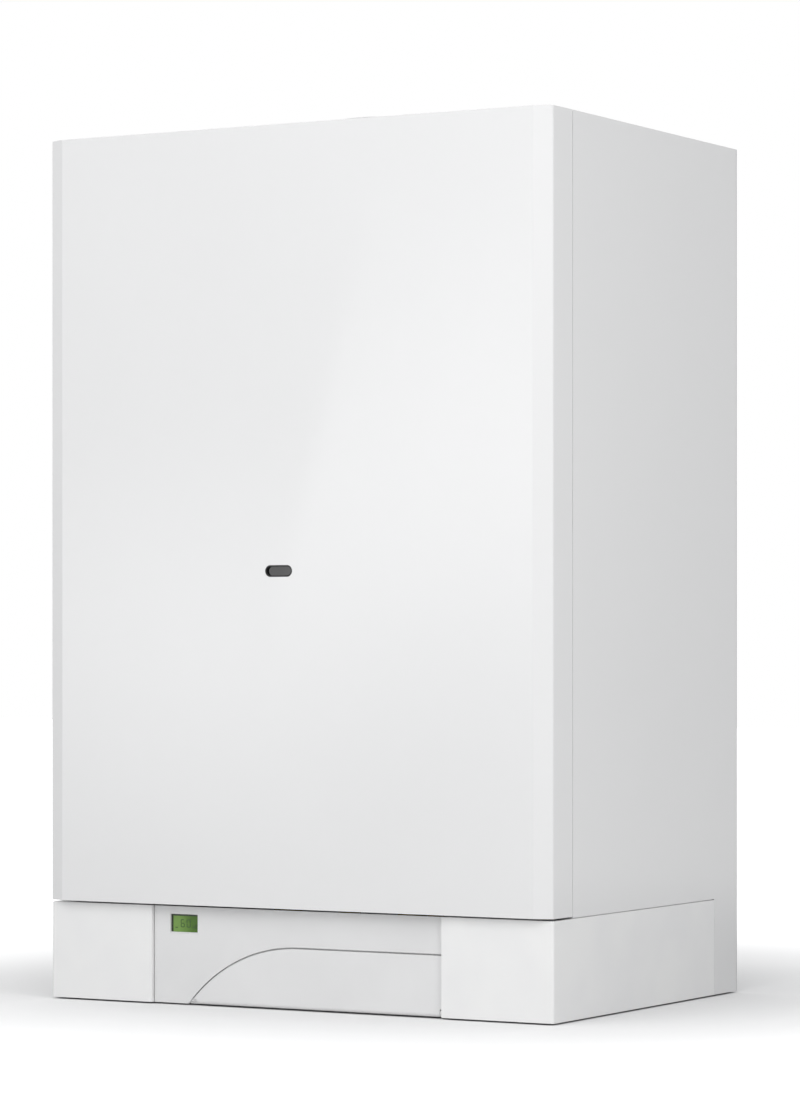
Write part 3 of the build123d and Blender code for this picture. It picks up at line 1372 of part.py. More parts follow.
def build_heat_cell():
    """Burner, chamber, exchanger, fan and flue."""
    nodes["frame_brackets"] = solids_of([make_hanging_rail(), make_cell_bracket()])
    nodes["burner_tray"] = make_burner_tray()
    nodes["burner_bars"] = solids_of(make_burner_bars())
    nodes["burner_manifold"] = make_burner_manifold()
    nodes["combustion_chamber"] = make_chamber()
    nodes["chamber_insulation"] = solids_of(make_insulation())
    nodes["chamber_window"] = make_chamber_window()
    places = electrode_places()
    leans = [3.0, -3.0, 0.5]
    nodes["electrodes"] = solids_of([part for x, lean in zip(places, leans) for part in make_electrode(x, lean)])
    nodes["heat_exchanger"] = solids_of(make_heat_exchanger())
    nodes["flue_hood"] = make_flue_hood()
    nodes["fan_housing"] = make_fan_housing()
    nodes["fan_impeller"] = make_fan_impeller()
    nodes["fan_motor"] = make_fan_motor()
    nodes["flue_duct"] = make_flue_duct()
    nodes["flue_collar"] = make_flue_collar()
    nodes["air_pressure_switch"] = make_pressure_switch()
    nodes["ignition_module"] = make_ignition_module()


def build_water_and_gas():
    """Connections, groups, pump, vessel, pipes and gas train."""
    nodes["connection_tails"] = solids_of([make_tail(x, radius) for x, radius in zip(tail_xs, tail_radii)])
    nodes["flow_group"] = make_flow_group()
    nodes["diverter_motor"] = make_diverter_motor()
    nodes["return_group"] = make_return_group()
    nodes["filling_knob"] = make_filling_knob()
    nodes["plate_exchanger"] = make_plate_exchanger()
    nodes["pump_body"] = make_pump_body()
    nodes["pump_motor"] = make_pump_motor()
    nodes["pump_impeller"] = make_pump_impeller()
    nodes["expansion_vessel"] = solids_of(make_expansion_vessel())
    water = [make_flow_pipe(), make_return_pipe(), make_vessel_pipe()]
    nodes["copper_pipes"] = solids_of(water + [make_gas_pipe_lower(), make_gas_pipe_upper()])
    nodes["pipe_nuts"] = solids_of(make_pipe_nuts() + [make_vessel_union()])
    nodes["gas_valve"] = make_gas_valve()
    nodes["relief_valve"] = make_relief_valve()
    nodes["relief_knob"] = make_relief_knob()
    nodes["air_vent"] = make_air_vent()
    nodes["water_sensors"] = solids_of([make_flow_sensor()] + make_temperature_sensors())


build_casing()
build_controls()
build_heat_cell()
build_water_and_gas()

os.makedirs("parts", exist_ok=True)
for name, shape in nodes.items():
    export_step(shape, f"parts/{name}.step")
print(len(nodes), "nodes written")
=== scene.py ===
"""A white wall-hung gas boiler: finishes, fine detail, soft studio light and the camera."""

import logging
from dataclasses import dataclass, field
from enum import Enum
from math import cos, pi, radians, sin, tau
from typing import Any, Iterable, Sequence

import bmesh
import bpy
from bmesh.types import BMesh, BMFace, BMVert
from mathutils import Matrix, Vector

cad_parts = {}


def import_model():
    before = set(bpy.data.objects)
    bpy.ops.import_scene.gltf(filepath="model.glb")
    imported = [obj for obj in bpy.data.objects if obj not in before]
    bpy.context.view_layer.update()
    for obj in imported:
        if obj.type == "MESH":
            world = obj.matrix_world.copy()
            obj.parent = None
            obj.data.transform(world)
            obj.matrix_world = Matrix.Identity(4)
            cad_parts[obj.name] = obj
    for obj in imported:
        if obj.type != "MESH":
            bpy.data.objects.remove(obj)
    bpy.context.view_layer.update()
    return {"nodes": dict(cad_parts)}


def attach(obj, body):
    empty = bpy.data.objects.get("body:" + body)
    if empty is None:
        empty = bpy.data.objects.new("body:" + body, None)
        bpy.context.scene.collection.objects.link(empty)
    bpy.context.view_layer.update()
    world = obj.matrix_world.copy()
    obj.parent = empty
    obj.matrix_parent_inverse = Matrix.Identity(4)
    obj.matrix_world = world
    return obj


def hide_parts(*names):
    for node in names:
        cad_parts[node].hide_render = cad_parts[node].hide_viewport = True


LOG = logging.getLogger("boiler")
MM = 0.001
MERGE_DISTANCE = 1e-7
FACING_FRONT = Matrix.Rotation(pi / 2, 4, "X")
FONT_SIZE_OVER_HEIGHT = 1.4
Socket = bpy.types.NodeSocket
Node = bpy.types.Node
NodeTree = bpy.types.NodeTree
Material = bpy.types.Material
Object = bpy.types.Object


class Body(Enum):
    """The moving bodies that a new piece can ride on."""

    CHASSIS = "chassis"
    CONTROL_BOX = "control_box"


def linear(code: str) -> tuple[float, float, float, float]:
    """Turn an sRGB hex colour into linear light.

    Args:
        code: Six hex digits with a leading hash.

    Returns:
        Red, green, blue and an alpha of 1.
    """
    values = [int(code[i:i + 2], 16) / 255 for i in (1, 3, 5)]
    bent = [v / 12.92 if v <= 0.04045 else ((v + 0.055) / 1.055) ** 2.4 for v in values]
    return (bent[0], bent[1], bent[2], 1.0)


def per_metre(size_mm: float) -> float:
    """Give the texture scale at which one feature is size_mm across."""
    return 1000.0 / size_mm


def add_node(
    tree: NodeTree, kind: str, inputs: dict[Any, Any] | None = None, **settings: Any
) -> Node:
    """Add one shader node with its settings and inputs.

    Args:
        tree: The material's node tree.
        kind: The node's type name.
        inputs: Input socket to its constant, or to the output that feeds it.
        settings: Properties of the node itself.

    Returns:
        The new node.
    """
    node = tree.nodes.new(kind)
    for key, value in settings.items():
        setattr(node, key, value)
    for key, value in (inputs or {}).items():
        if isinstance(value, Socket):
            tree.links.new(value, node.inputs[key])
        else:
            node.inputs[key].default_value = value
    return node


def combine(tree: NodeTree, operation: str, first: Socket, second: Socket | float) -> Socket:
    """Work one value out of two with a math node."""
    made = add_node(tree, "ShaderNodeMath", {0: first, 1: second}, operation=operation)
    return made.outputs["Value"]


def smooth_step(
    tree: NodeTree, source: Socket, start: float, end: float, at_start: float, at_end: float
) -> Socket:
    """Run smoothly from one value to another while the source goes from start to end."""
    made = add_node(tree, "ShaderNodeMapRange", {
        "Value": source, "From Min": start, "From Max": end, "To Min": at_start, "To Max": at_end,
    }, interpolation_type="SMOOTHSTEP")
    return made.outputs["Result"]


def emission(tree: NodeTree, strength: Socket | float) -> Socket:
    """Give off white light."""
    return add_node(tree, "ShaderNodeEmission", {"Strength": strength}).outputs["Emission"]


def blend(tree: NodeTree, share: Socket, first: Socket, second: Socket) -> Socket:
    """Mix two shaders; at a share of 1 only the second shows."""
    made = add_node(tree, "ShaderNodeMixShader", {"Fac": share, 1: first, 2: second})
    return made.outputs["Shader"]


def add_ramp(tree: NodeTree, source: Socket, stops: Sequence[tuple[float, str]]) -> Socket:
    """Colour a 0 to 1 pattern through a ramp of hex colours.

    Args:
        tree: The material's node tree.
        source: The pattern.
        stops: Places and colours.

    Returns:
        The ramp's colour output.
    """
    node = add_node(tree, "ShaderNodeValToRGB", {"Fac": source})
    elements = node.color_ramp.elements
    for element, (place, code) in zip(elements, stops):
        element.position = place
        element.color = linear(code)
    return node.outputs["Color"]


def blank_material(name: str) -> tuple[Material, NodeTree]:
    """Start a material with an empty node tree."""
    made = bpy.data.materials.new(name)
    made.use_nodes = True
    made.node_tree.nodes.clear()
    return made, made.node_tree


def mesh_object(name: str, mesh: BMesh, materials: Iterable[Material]) -> Object:
    """Turn a bmesh into an object of the scene, and free it.

    Args:
        name: The name of the object and of its mesh.
        mesh: The shape, where it belongs.
        materials: One material for each material index.

    Returns:
        The new object.
    """
    data = bpy.data.meshes.new(name)
    mesh.to_mesh(data)
    mesh.free()
    for material in materials:
        data.materials.append(material)
    made = bpy.data.objects.new(name, data)
    bpy.context.scene.collection.objects.link(made)
    return made


@dataclass(frozen=True)
class Finish:
    """A finish with the values of its plain surface; each kind adds its own pattern."""

    name: str
    base: str
    roughness: float
    metallic: float = 0.0
    ior: float = 1.5
    coat: float = 0.0
    coat_roughness: float = 0.1

    def pattern(self, tree: NodeTree, place: Socket, shader: Node) -> None:
        """Give the surface its pattern; the kinds of finish say what."""

    def material(self) -> Material:
        """Build the material once, and hand out the same one afterwards.

        Returns:
            The finished material.
        """
        known = bpy.data.materials.get(self.name)
        if known:
            return known
        made, tree = blank_material(self.name)
        made.diffuse_color = linear(self.base)
        shader = add_node(tree, "ShaderNodeBsdfPrincipled", {
            "Base Color": linear(self.base),
            "Roughness": self.roughness,
            "Metallic": self.metallic,
            "IOR": self.ior,
            "Coat Weight": self.coat,
            "Coat Roughness": self.coat_roughness,
        })
        place = add_node(tree, "ShaderNodeTexCoord").outputs["Object"]
        self.pattern(tree, place, shader)
        add_node(tree, "ShaderNodeOutputMaterial", {"Surface": shader.outputs["BSDF"]})
        return made

    def noise(self, tree: NodeTree, place: Socket, size_mm: float, detail: float = 3.0) -> Socket:
        """Cloudy noise whose clouds are about size_mm across."""
        node = add_node(tree, "ShaderNodeTexNoise", {
            "Vector": place, "Scale": per_metre(size_mm), "Detail": detail, "Roughness": 0.55,
        })
        return node.outputs["Fac"]

    def stretched(
        self, tree: NodeTree, place: Socket, scale: tuple[float, float, float]
    ) -> Socket:
        """The place, drawn out along the axes whose scale is under 1."""
        node = add_node(tree, "ShaderNodeMapping", {"Vector": place, "Scale": scale})
        return node.outputs["Vector"]

    def bump(
        self, tree: NodeTree, shader: Node, height: Socket, depth_mm: float, strength: float
    ) -> None:
        """Raise the surface by a pattern.

        Args:
            tree: The material's node tree.
            shader: The surface shader.
            height: The pattern, 0 to 1.
            depth_mm: How far its white stands above its black.
            strength: How much of it shows.
        """
        node = add_node(tree, "ShaderNodeBump", {
            "Height": height, "Distance": depth_mm * MM, "Strength": strength,
        })
        tree.links.new(node.outputs["Normal"], shader.inputs["Normal"])

    def spread(self, tree: NodeTree, source: Socket, low: float, high: float) -> Socket:
        """A 0 to 1 pattern spread over another range."""
        node = add_node(tree, "ShaderNodeMapRange", {
            "Value": source, "To Min": low, "To Max": high,
        })
        return node.outputs["Result"]

    def vary_gloss(
        self, tree: NodeTree, shader: Node, source: Socket, at_black: float, at_white: float
    ) -> None:
        """Let the roughness run from at_black to at_white round its plain value by a pattern."""
        rough = self.spread(tree, source, self.roughness + at_black, self.roughness + at_white)
        tree.links.new(rough, shader.inputs["Roughness"])

    def tint(
        self, tree: NodeTree, shader: Node, source: Socket, other: str,
        low: float = 0.35, high: float = 0.65,
    ) -> None:
        """Blend the base colour into another one while a pattern runs from low to high."""
        colour = add_ramp(tree, source, [(low, self.base), (high, other)])
        tree.links.new(colour, shader.inputs["Base Color"])


@dataclass(frozen=True)
class PowderCoat(Finish):
    """Satin powder coat on sheet steel: the melted powder leaves a faint orange peel."""

    shade: str = field(kw_only=True)
    peel_mm: float = 2.2
    peel_depth_mm: float = 0.02
    tone_cloud_mm: float = 160.0
    gloss_cloud_mm: float = 60.0

    def pattern(self, tree: NodeTree, place: Socket, shader: Node) -> None:
        """Orange peel 2 mm across, and broad clouds of a hardly different tone."""
        tone = self.noise(tree, place, self.tone_cloud_mm, detail=2.0)
        self.tint(tree, shader, tone, self.shade, low=0.3, high=0.7)
        peel = self.noise(tree, place, self.peel_mm, detail=1.0)
        self.bump(tree, shader, peel, self.peel_depth_mm, strength=0.25)
        clouds = self.noise(tree, place, self.gloss_cloud_mm, detail=2.0)
        self.vary_gloss(tree, shader, clouds, at_black=-0.03, at_white=0.03)


@dataclass(frozen=True)
class Moulded(Finish):
    """Moulded plastic: the spark-eroded mould leaves a fine even grain."""

    shade: str = field(kw_only=True)
    grain_mm: float = 0.7
    grain_depth_mm: float = 0.03
    flow_mm: float = 70.0

    def pattern(self, tree: NodeTree, place: Socket, shader: Node) -> None:
        """Grain under a millimetre across, and a slight tone from the plastic's flow."""
        grain = self.noise(tree, place, self.grain_mm, detail=2.0)
        self.bump(tree, shader, grain, self.grain_depth_mm, strength=0.5)
        self.vary_gloss(tree, shader, grain, at_black=-0.05, at_white=0.05)
        self.tint(tree, shader, self.noise(tree, place, self.flow_mm, detail=2.0), self.shade)


@dataclass(frozen=True)
class Galvanised(Finish):
    """Hot-dip zinc on sheet: flat crystals some millimetres across catch the light singly."""

    crystal_mm: float = 9.0
    warp_mm: float = 13.5
    warp_share: float = 0.006
    grit_mm: float = 1.2
    grit_depth_mm: float = 0.02
    dark: str = "#83888B"
    light: str = "#B4B8B9"

    def pattern(self, tree: NodeTree, place: Socket, shader: Node) -> None:
        """Crystals with their own tone and gloss."""
        warp = add_node(tree, "ShaderNodeTexNoise", {
            "Vector": place, "Scale": per_metre(self.warp_mm), "Detail": 2.0,
        })
        shifted = add_node(tree, "ShaderNodeMix", {
            "A": place, "B": warp.outputs["Color"], "Factor": self.warp_share,
        }, data_type="VECTOR")
        cells = add_node(tree, "ShaderNodeTexVoronoi", {
            "Vector": shifted.outputs["Result"], "Scale": per_metre(self.crystal_mm),
        })
        split = add_node(tree, "ShaderNodeSeparateColor", {"Color": cells.outputs["Color"]})
        grey = split.outputs["Red"]
        colour = add_ramp(tree, grey, [(0.0, self.dark), (1.0, self.light)])
        tree.links.new(colour, shader.inputs["Base Color"])
        self.vary_gloss(tree, shader, grey, at_black=-0.1, at_white=0.14)
        grit = self.noise(tree, place, self.grit_mm, detail=2.0)
        self.bump(tree, shader, grit, self.grit_depth_mm, strength=0.3)


@dataclass(frozen=True)
class Worked(Finish):
    """Bare or plated metal, turned, drawn or tumbled: fine lines and a faint tarnish."""

    tarnish: str = "#6F5A38"
    tarnish_mm: float = 22.0
    line_mm: float = 0.8
    lines: tuple[float, float, float] = (1.0, 1.0, 1.0)
    line_depth_mm: float = 0.02
    tarnish_from: float = 0.5
    tarnish_to: float = 0.85

    def pattern(self, tree: NodeTree, place: Socket, shader: Node) -> None:
        """Tool lines, drawn out along one way, over patches of tarnish that are also duller."""
        patches = self.noise(tree, place, self.tarnish_mm, detail=4.0)
        self.tint(tree, shader, patches, self.tarnish, self.tarnish_from, self.tarnish_to)
        self.vary_gloss(tree, shader, patches, at_black=-0.08, at_white=0.12)
        drawn = self.stretched(tree, place, self.lines)
        fine = self.noise(tree, drawn, self.line_mm, detail=2.0)
        self.bump(tree, shader, fine, self.line_depth_mm, strength=0.5)


@dataclass(frozen=True)
class Cast(Finish):
    """Cast metal, bare or painted: a sand-like grain with duller hollows."""

    grain_mm: float = 1.6
    depth_mm: float = 0.12
    hollow: str = "#3A3C3E"

    def pattern(self, tree: NodeTree, place: Socket, shader: Node) -> None:
        """Grain of the mould, darker where it is low."""
        grain = self.noise(tree, place, self.grain_mm, detail=4.0)
        self.bump(tree, shader, grain, self.depth_mm, strength=0.6)
        self.tint(tree, shader, grain, self.hollow, low=0.45, high=0.1)
        self.vary_gloss(tree, shader, grain, at_black=0.12, at_white=-0.1)


@dataclass(frozen=True)
class Fibre(Finish):
    """Pressed ceramic fibre board: matted short fibres, browned where the flames come near."""

    scorch: str = "#9C8B73"
    scorch_low_z: float = -0.35
    scorch_high_z: float = -0.24
    scorch_cloud_mm: float = 18.0
    felt_mm: float = 1.5
    felt_depth_mm: float = 0.3

    def pattern(self, tree: NodeTree, place: Socket, shader: Node) -> None:
        """Matted fibres and a scorch that rises from the burner."""
        height = add_node(tree, "ShaderNodeSeparateXYZ", {"Vector": place}).outputs["Z"]
        heat = add_node(tree, "ShaderNodeMapRange", {
            "Value": height, "From Min": self.scorch_low_z, "From Max": self.scorch_high_z,
            "To Min": 1.0, "To Max": 0.0,
        }).outputs["Result"]
        cloud = combine(tree, "MULTIPLY", heat, self.noise(tree, place, self.scorch_cloud_mm))
        self.tint(tree, shader, cloud, self.scorch, low=0.15, high=0.6)
        drawn = self.stretched(tree, place, (1.0, 1.0, 0.3))
        felt = self.noise(tree, drawn, self.felt_mm, detail=5.0)
        self.bump(tree, shader, felt, self.felt_depth_mm, strength=0.7)


@dataclass(frozen=True)
class Foam(Finish):
    """Closed-cell foam: a skin of burst bubbles."""

    cell_mm: float = 1.4
    cell_depth_mm: float = 0.25
    rim: str = "#2C2D2E"

    def pattern(self, tree: NodeTree, place: Socket, shader: Node) -> None:
        """Small round pits, a little lighter on their rims."""
        cells = add_node(tree, "ShaderNodeTexVoronoi", {
            "Vector": place, "Scale": per_metre(self.cell_mm),
        })
        far = cells.outputs["Distance"]
        self.bump(tree, shader, far, self.cell_depth_mm, strength=0.7)
        self.tint(tree, shader, far, self.rim, low=0.35, high=0.7)


@dataclass(frozen=True)
class ClearPane(Finish):
    """A clear or tinted pane: what lies behind shows through, with a clean gloss over it."""

    alpha: float = 0.2
    wipe_mm: float = 3.0

    def pattern(self, tree: NodeTree, place: Socket, shader: Node) -> None:
        """Faint wipe marks in the gloss, and the pane's clearness."""
        shader.inputs["Alpha"].default_value = self.alpha
        marks = self.noise(tree, self.stretched(tree, place, (1.0, 1.0, 0.25)), self.wipe_mm)
        self.vary_gloss(tree, shader, marks, at_black=0.0, at_white=0.06)


@dataclass(frozen=True)
class BoardMask(Finish):
    """Printed board: green lacquer over copper tracks that show as lighter lanes."""

    track: str = "#1E6B36"
    block_mm: float = 9.0
    track_depth_mm: float = 0.05

    def pattern(self, tree: NodeTree, place: Socket, shader: Node) -> None:
        """Lanes that run square to each other in blocks."""
        turned = add_node(tree, "ShaderNodeMapping", {
            "Vector": place, "Rotation": (pi / 2, 0.0, 0.0),
        })
        lanes = add_node(tree, "ShaderNodeTexBrick", {
            "Vector": turned.outputs["Vector"], "Color1": linear(self.base),
            "Color2": linear(self.base), "Mortar": linear(self.track),
            "Scale": per_metre(self.block_mm), "Mortar Size": 0.09, "Brick Width": 1.7,
            "Row Height": 0.6,
        })
        tree.links.new(lanes.outputs["Color"], shader.inputs["Base Color"])
        self.bump(tree, shader, lanes.outputs["Fac"], self.track_depth_mm, strength=0.4)


@dataclass(frozen=True)
class CellGlow(Finish):
    """A liquid crystal cell or the window on it: a green ground with painted light, as if lit
    from its left edge.
    """

    dim: str = "#4A6F22"
    left_x: float = -0.127
    right_x: float = -0.099
    cloud_mm: float = 6.0

    def pattern(self, tree: NodeTree, place: Socket, shader: Node) -> None:
        """Painted light that fades to the right, with faint clouds."""
        # Painted light: the green is lightest at the left edge and darkens towards the right.
        across = add_node(tree, "ShaderNodeSeparateXYZ", {"Vector": place}).outputs["X"]
        fade = add_node(tree, "ShaderNodeMapRange", {
            "Value": across, "From Min": self.left_x, "From Max": self.right_x,
        }).outputs["Result"]
        cloud = self.spread(tree, self.noise(tree, place, self.cloud_mm), low=-0.15, high=0.15)
        total = combine(tree, "ADD", fade, cloud)
        self.tint(tree, shader, total, self.dim, low=0.3, high=0.75)


WHITE_SHEET = PowderCoat("white_powder_coat", "#E5E5E5", 0.34, coat=1.0, coat_roughness=0.05,
                         shade="#E6E6E6")
WHITE_SKIRT = Moulded("white_moulded_abs", "#F1F1F0", 0.36, coat=0.3, coat_roughness=0.15,
                      shade="#EDEDED")
GREY_FASCIA = Moulded("light_grey_moulded_abs", "#E3E3E3", 0.42, shade="#DFDFDF")
# Painted light: the flap and the window's lip take a slightly lighter copy of the fascia's grey,
# as the fascia's upper part lies in the front panel's shade.
GREY_FLAP_PAINTED_LIGHTER = Moulded("light_grey_flap_abs", "#E5E5E5", 0.40, shade="#E2E2E2")
GALVANISED = Galvanised("galvanised_sheet", "#9EA3A5", 0.42, metallic=1.0)
ZINC = Worked("bright_zinc_plate", "#C2C3BF", 0.34, metallic=1.0, tarnish="#8F8F88",
              line_mm=1.0)
SEAL = Foam("black_closed_cell_foam", "#141415", 0.85)
BLACK_PLASTIC = Moulded("black_polyamide", "#151516", 0.45, shade="#1C1C1D")
# Painted shade: the sight glass is dark and nearly opaque, standing in for the unlit chamber seen
# through it.
SIGHT_GLASS_PAINTED_DARK = ClearPane("heatproof_glass_painted_dark", "#0B0B0C", 0.04, coat=0.5, coat_roughness=0.03,
                       alpha=0.94)
MID_GREY = Moulded("mid_grey_abs", "#595B5E", 0.48, shade="#626468")
BOARD = BoardMask("green_printed_board", "#0F4A22", 0.35, coat=0.4)
# The window and the cell both carry the painted light of CellGlow.
DISPLAY_PANE = CellGlow("green_display_window", "#74994A", 0.12)
DISPLAY_CELL = CellGlow("green_display_cell", "#74994A", 0.5)
KNOB = Moulded("dark_grey_knob_abs", "#3B3D40", 0.42, shade="#424448")
GAUGE_CASE = Moulded("black_gauge_case", "#18181A", 0.35, shade="#202022")
RED_PLASTIC = Moulded("red_moulded_plastic", "#B4221B", 0.35, coat=0.3, shade="#A51E18")
CLEAR_LENS = ClearPane("clear_gauge_lens", "#F4F6F6", 0.03, alpha=0.08)
BURNER_STEEL = Worked("heat_tinted_steel", "#A79F93", 0.38, metallic=1.0, tarnish="#5E5266",
                      tarnish_mm=30.0, lines=(1.0, 0.1, 1.0))
FIBRE = Fibre("ceramic_fibre_board", "#E2DCCD", 0.95)
CERAMIC = Moulded("glazed_alumina", "#ECE9E0", 0.18, coat=0.6, grain_depth_mm=0.01,
                  shade="#E4DFD2")
COPPER = Worked("drawn_copper", "#C77B58", 0.30, metallic=1.0, tarnish="#7C4433",
                tarnish_mm=35.0, lines=(1.0, 1.0, 0.15))
PRESSED_ALUMINIUM = Worked("pressed_aluminium", "#C9CBCD", 0.38, metallic=1.0,
                           tarnish="#9FA2A5", line_mm=1.2)
MOTOR_PAINT = Cast("grey_painted_casting", "#6C7073", 0.45, hollow="#4C4F52")
FLUE_ALUMINIUM = Worked("spun_aluminium", "#D2D3D3", 0.33, metallic=1.0, tarnish="#A9ABAC",
                        lines=(0.15, 0.15, 1.0), line_mm=0.9)
BRASS = Worked("tumbled_brass", "#C9A15A", 0.33, metallic=1.0, tarnish="#8A6B38")
BLUE_PLASTIC = Moulded("blue_moulded_plastic", "#1D4E96", 0.35, coat=0.3, shade="#1A478A")
PLATE_STEEL = Worked("brazed_plate_steel", "#B5B2AB", 0.35, metallic=1.0, tarnish="#A8764F",
                     tarnish_mm=12.0, tarnish_from=0.55, tarnish_to=0.95)
PUMP_IRON = Cast("painted_cast_iron", "#2B2F33", 0.5, grain_mm=2.2, depth_mm=0.2,
                 hollow="#1B1D20")
RED_ENAMEL = PowderCoat("red_stoved_enamel", "#A3231D", 0.32, coat=0.5, shade="#951F1A")
DIE_CAST = Cast("die_cast_aluminium", "#A9ACAE", 0.42, metallic=1.0, grain_mm=1.2,
                depth_mm=0.06, hollow="#8B8E91")
DIAL_WHITE = Moulded("dial_white_lacquer", "#F2F2EE", 0.4, shade="#EDEDE8", grain_depth_mm=0.01)
PRINT_BLACK = Moulded("black_print", "#1A1A1C", 0.5, shade="#222224", grain_depth_mm=0.01)
PRINT_GREY = Moulded("grey_print", "#6A6D70", 0.5, shade="#74777A", grain_depth_mm=0.01)
CRYSTAL_DARK = Moulded("dark_crystal_segments", "#2C4A12", 0.45, shade="#33521A",
                       grain_depth_mm=0.005)
# Painted shadow: a dark sheet along the display window's top, left and right edges, where its rim
# shades it.
PAINTED_RIM_SHADOW = Moulded("painted_rim_shadow", "#2E3A24", 0.4, shade="#263020", grain_depth_mm=0.01)

NODES_BY_FINISH: dict[Finish, tuple[str, ...]] = {
    WHITE_SHEET: ("front_panel", "side_panel_left", "side_panel_right", "top_cover"),
    WHITE_SKIRT: ("skirt_left", "skirt_right"),
    GREY_FASCIA: ("control_box",),
    GREY_FLAP_PAINTED_LIGHTER: ("control_flap",),
    GALVANISED: (
        "back_plate", "bottom_plate", "frame_brackets", "combustion_chamber", "burner_tray",
        "flue_hood",
    ),
    PRESSED_ALUMINIUM: ("fan_housing", "fan_impeller"),
    ZINC: ("casing_screws", "burner_manifold", "chamber_window"),
    SEAL: ("door_seal",),
    BLACK_PLASTIC: (
        "sight_bezel", "cable_gland", "air_pressure_switch", "diverter_motor", "water_sensors",
    ),
    SIGHT_GLASS_PAINTED_DARK: ("sight_glass",),
    MID_GREY: ("control_box_lid", "ignition_module", "pump_impeller"),
    BOARD: ("circuit_board",),
    DISPLAY_PANE: ("display_lens",),
    DISPLAY_CELL: ("display_module",),
    KNOB: ("heating_knob", "hot_water_knob", "reset_button", "mode_button"),
    GAUGE_CASE: ("pressure_gauge",),
    RED_PLASTIC: ("gauge_needle", "relief_knob"),
    CLEAR_LENS: ("gauge_lens",),
    BURNER_STEEL: ("burner_bars",),
    FIBRE: ("chamber_insulation",),
    CERAMIC: ("electrodes",),
    COPPER: ("heat_exchanger", "copper_pipes"),
    MOTOR_PAINT: ("fan_motor", "pump_motor"),
    FLUE_ALUMINIUM: ("flue_duct", "flue_collar"),
    BRASS: (
        "connection_tails", "flow_group", "return_group", "pipe_nuts", "relief_valve", "air_vent",
    ),
    BLUE_PLASTIC: ("filling_knob",),
    PLATE_STEEL: ("plate_exchanger",),
    PUMP_IRON: ("pump_body",),
    RED_ENAMEL: ("expansion_vessel",),
    DIE_CAST: ("gas_valve",),
}
NODE_FINISHES = {node: finish for finish, nodes in NODES_BY_FINISH.items() for node in nodes}


@dataclass
class Kit:
    """What each sub-assembly shares: how a mesh becomes a named piece on a body."""

    made: list[str] = field(default_factory=list)

    def piece(
        self, mesh: BMesh, name: str, body: Body, finishes: Sequence[Finish]
    ) -> Object:
        """Turn a bmesh into a finished piece that rides on a body.

        Args:
            mesh: The shape, in metres, where it belongs.
            name: The piece's name.
            body: The body that it moves with.
            finishes: One finish for each material index of the mesh.

        Returns:
            The new object.
        """
        bmesh.ops.remove_doubles(mesh, verts=mesh.verts, dist=MERGE_DISTANCE)
        bmesh.ops.recalc_face_normals(mesh, faces=mesh.faces)
        for face in mesh.faces:
            face.smooth = False
        made = mesh_object(name, mesh, [finish.material() for finish in finishes])
        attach(made, body.value)
        self.made.append(name)
        LOG.info("piece %s on %s: %d faces", name, body.value, len(made.data.polygons))
        return made


def box_between(
    mesh: BMesh, low: Sequence[float], high: Sequence[float], index: int = 0
) -> list[BMFace]:
    """Add a box between two corners in millimetres.

    Args:
        mesh: The mesh to add to.
        low: The lowest corner.
        high: The highest corner.
        index: Material index of its faces.

    Returns:
        The new faces.
    """
    a, b = Vector(low) * MM, Vector(high) * MM
    place = Matrix.Translation((a + b) / 2) @ Matrix.Diagonal((*(b - a), 1.0))
    made = bmesh.ops.create_cube(mesh, size=1.0, matrix=place)
    faces = list({face for vert in made["verts"] for face in vert.link_faces})
    for face in faces:
        face.material_index = index
    return faces


def disc_facing(
    mesh: BMesh, centre: Sequence[float], radius: float, depth: float, segments: int
) -> None:
    """Add a flat round disc that faces the front.

    Args:
        mesh: The mesh to add to.
        centre: The middle of its front face, in millimetres.
        radius: Its radius, in millimetres.
        depth: Its thickness, in millimetres.
        segments: How many sides its rim has.
    """
    middle = (Vector(centre) + Vector((0.0, depth / 2, 0.0))) * MM
    bmesh.ops.create_cone(mesh, cap_ends=True, segments=segments, radius1=radius * MM,
                          radius2=radius * MM, depth=depth * MM,
                          matrix=Matrix.Translation(middle) @ FACING_FRONT)


def text_mesh(
    words: str, size_mm: float, centre: Sequence[float], depth_mm: float = 0.05
) -> BMesh:
    """Make raised lettering that faces the front.

    Args:
        words: The characters.
        size_mm: Their height.
        centre: The middle of the words, in millimetres.
        depth_mm: How far they stand out.

    Returns:
        A mesh of the words in their place.
    """
    curve = bpy.data.curves.new("words", "FONT")
    curve.body = words
    curve.size = size_mm * MM * FONT_SIZE_OVER_HEIGHT
    curve.extrude = depth_mm * MM / 2
    curve.align_x = "CENTER"
    curve.align_y = "CENTER"
    holder = bpy.data.objects.new("words", curve)
    bpy.context.scene.collection.objects.link(holder)
    bpy.context.view_layer.update()
    graph = bpy.context.evaluated_depsgraph_get()
    flat = bpy.data.meshes.new_from_object(holder.evaluated_get(graph))
    mesh = bmesh.new()
    mesh.from_mesh(flat)
    place = Matrix.Translation(Vector(centre) * MM) @ FACING_FRONT
    bmesh.ops.transform(mesh, matrix=place, verts=mesh.verts)
    bpy.data.objects.remove(holder)
    bpy.data.curves.remove(curve)
    bpy.data.meshes.remove(flat)
    return mesh


def join(target: BMesh, other: BMesh, index: int) -> None:
    """Put a second mesh into the first with one material index, and free it.

    Args:
        target: The mesh that grows.
        other: The mesh that goes into it.
        index: Material index of the added faces.
    """
    for face in other.faces:
        face.material_index = index
    data = bpy.data.meshes.new("joined")
    other.to_mesh(data)
    other.free()
    target.from_mesh(data)
    bpy.data.meshes.remove(data)


@dataclass
class Casing:
    """The sheets and everything else that only needs its finish."""

    nodes: dict[str, Object]

    def dress(self) -> None:
        """Give every carried-over node its finish."""
        for name, node in self.nodes.items():
            finish = NODE_FINISHES[name]
            node.data.materials.clear()
            node.data.materials.append(finish.material())
            LOG.info("node %s: %s", name, finish.name)


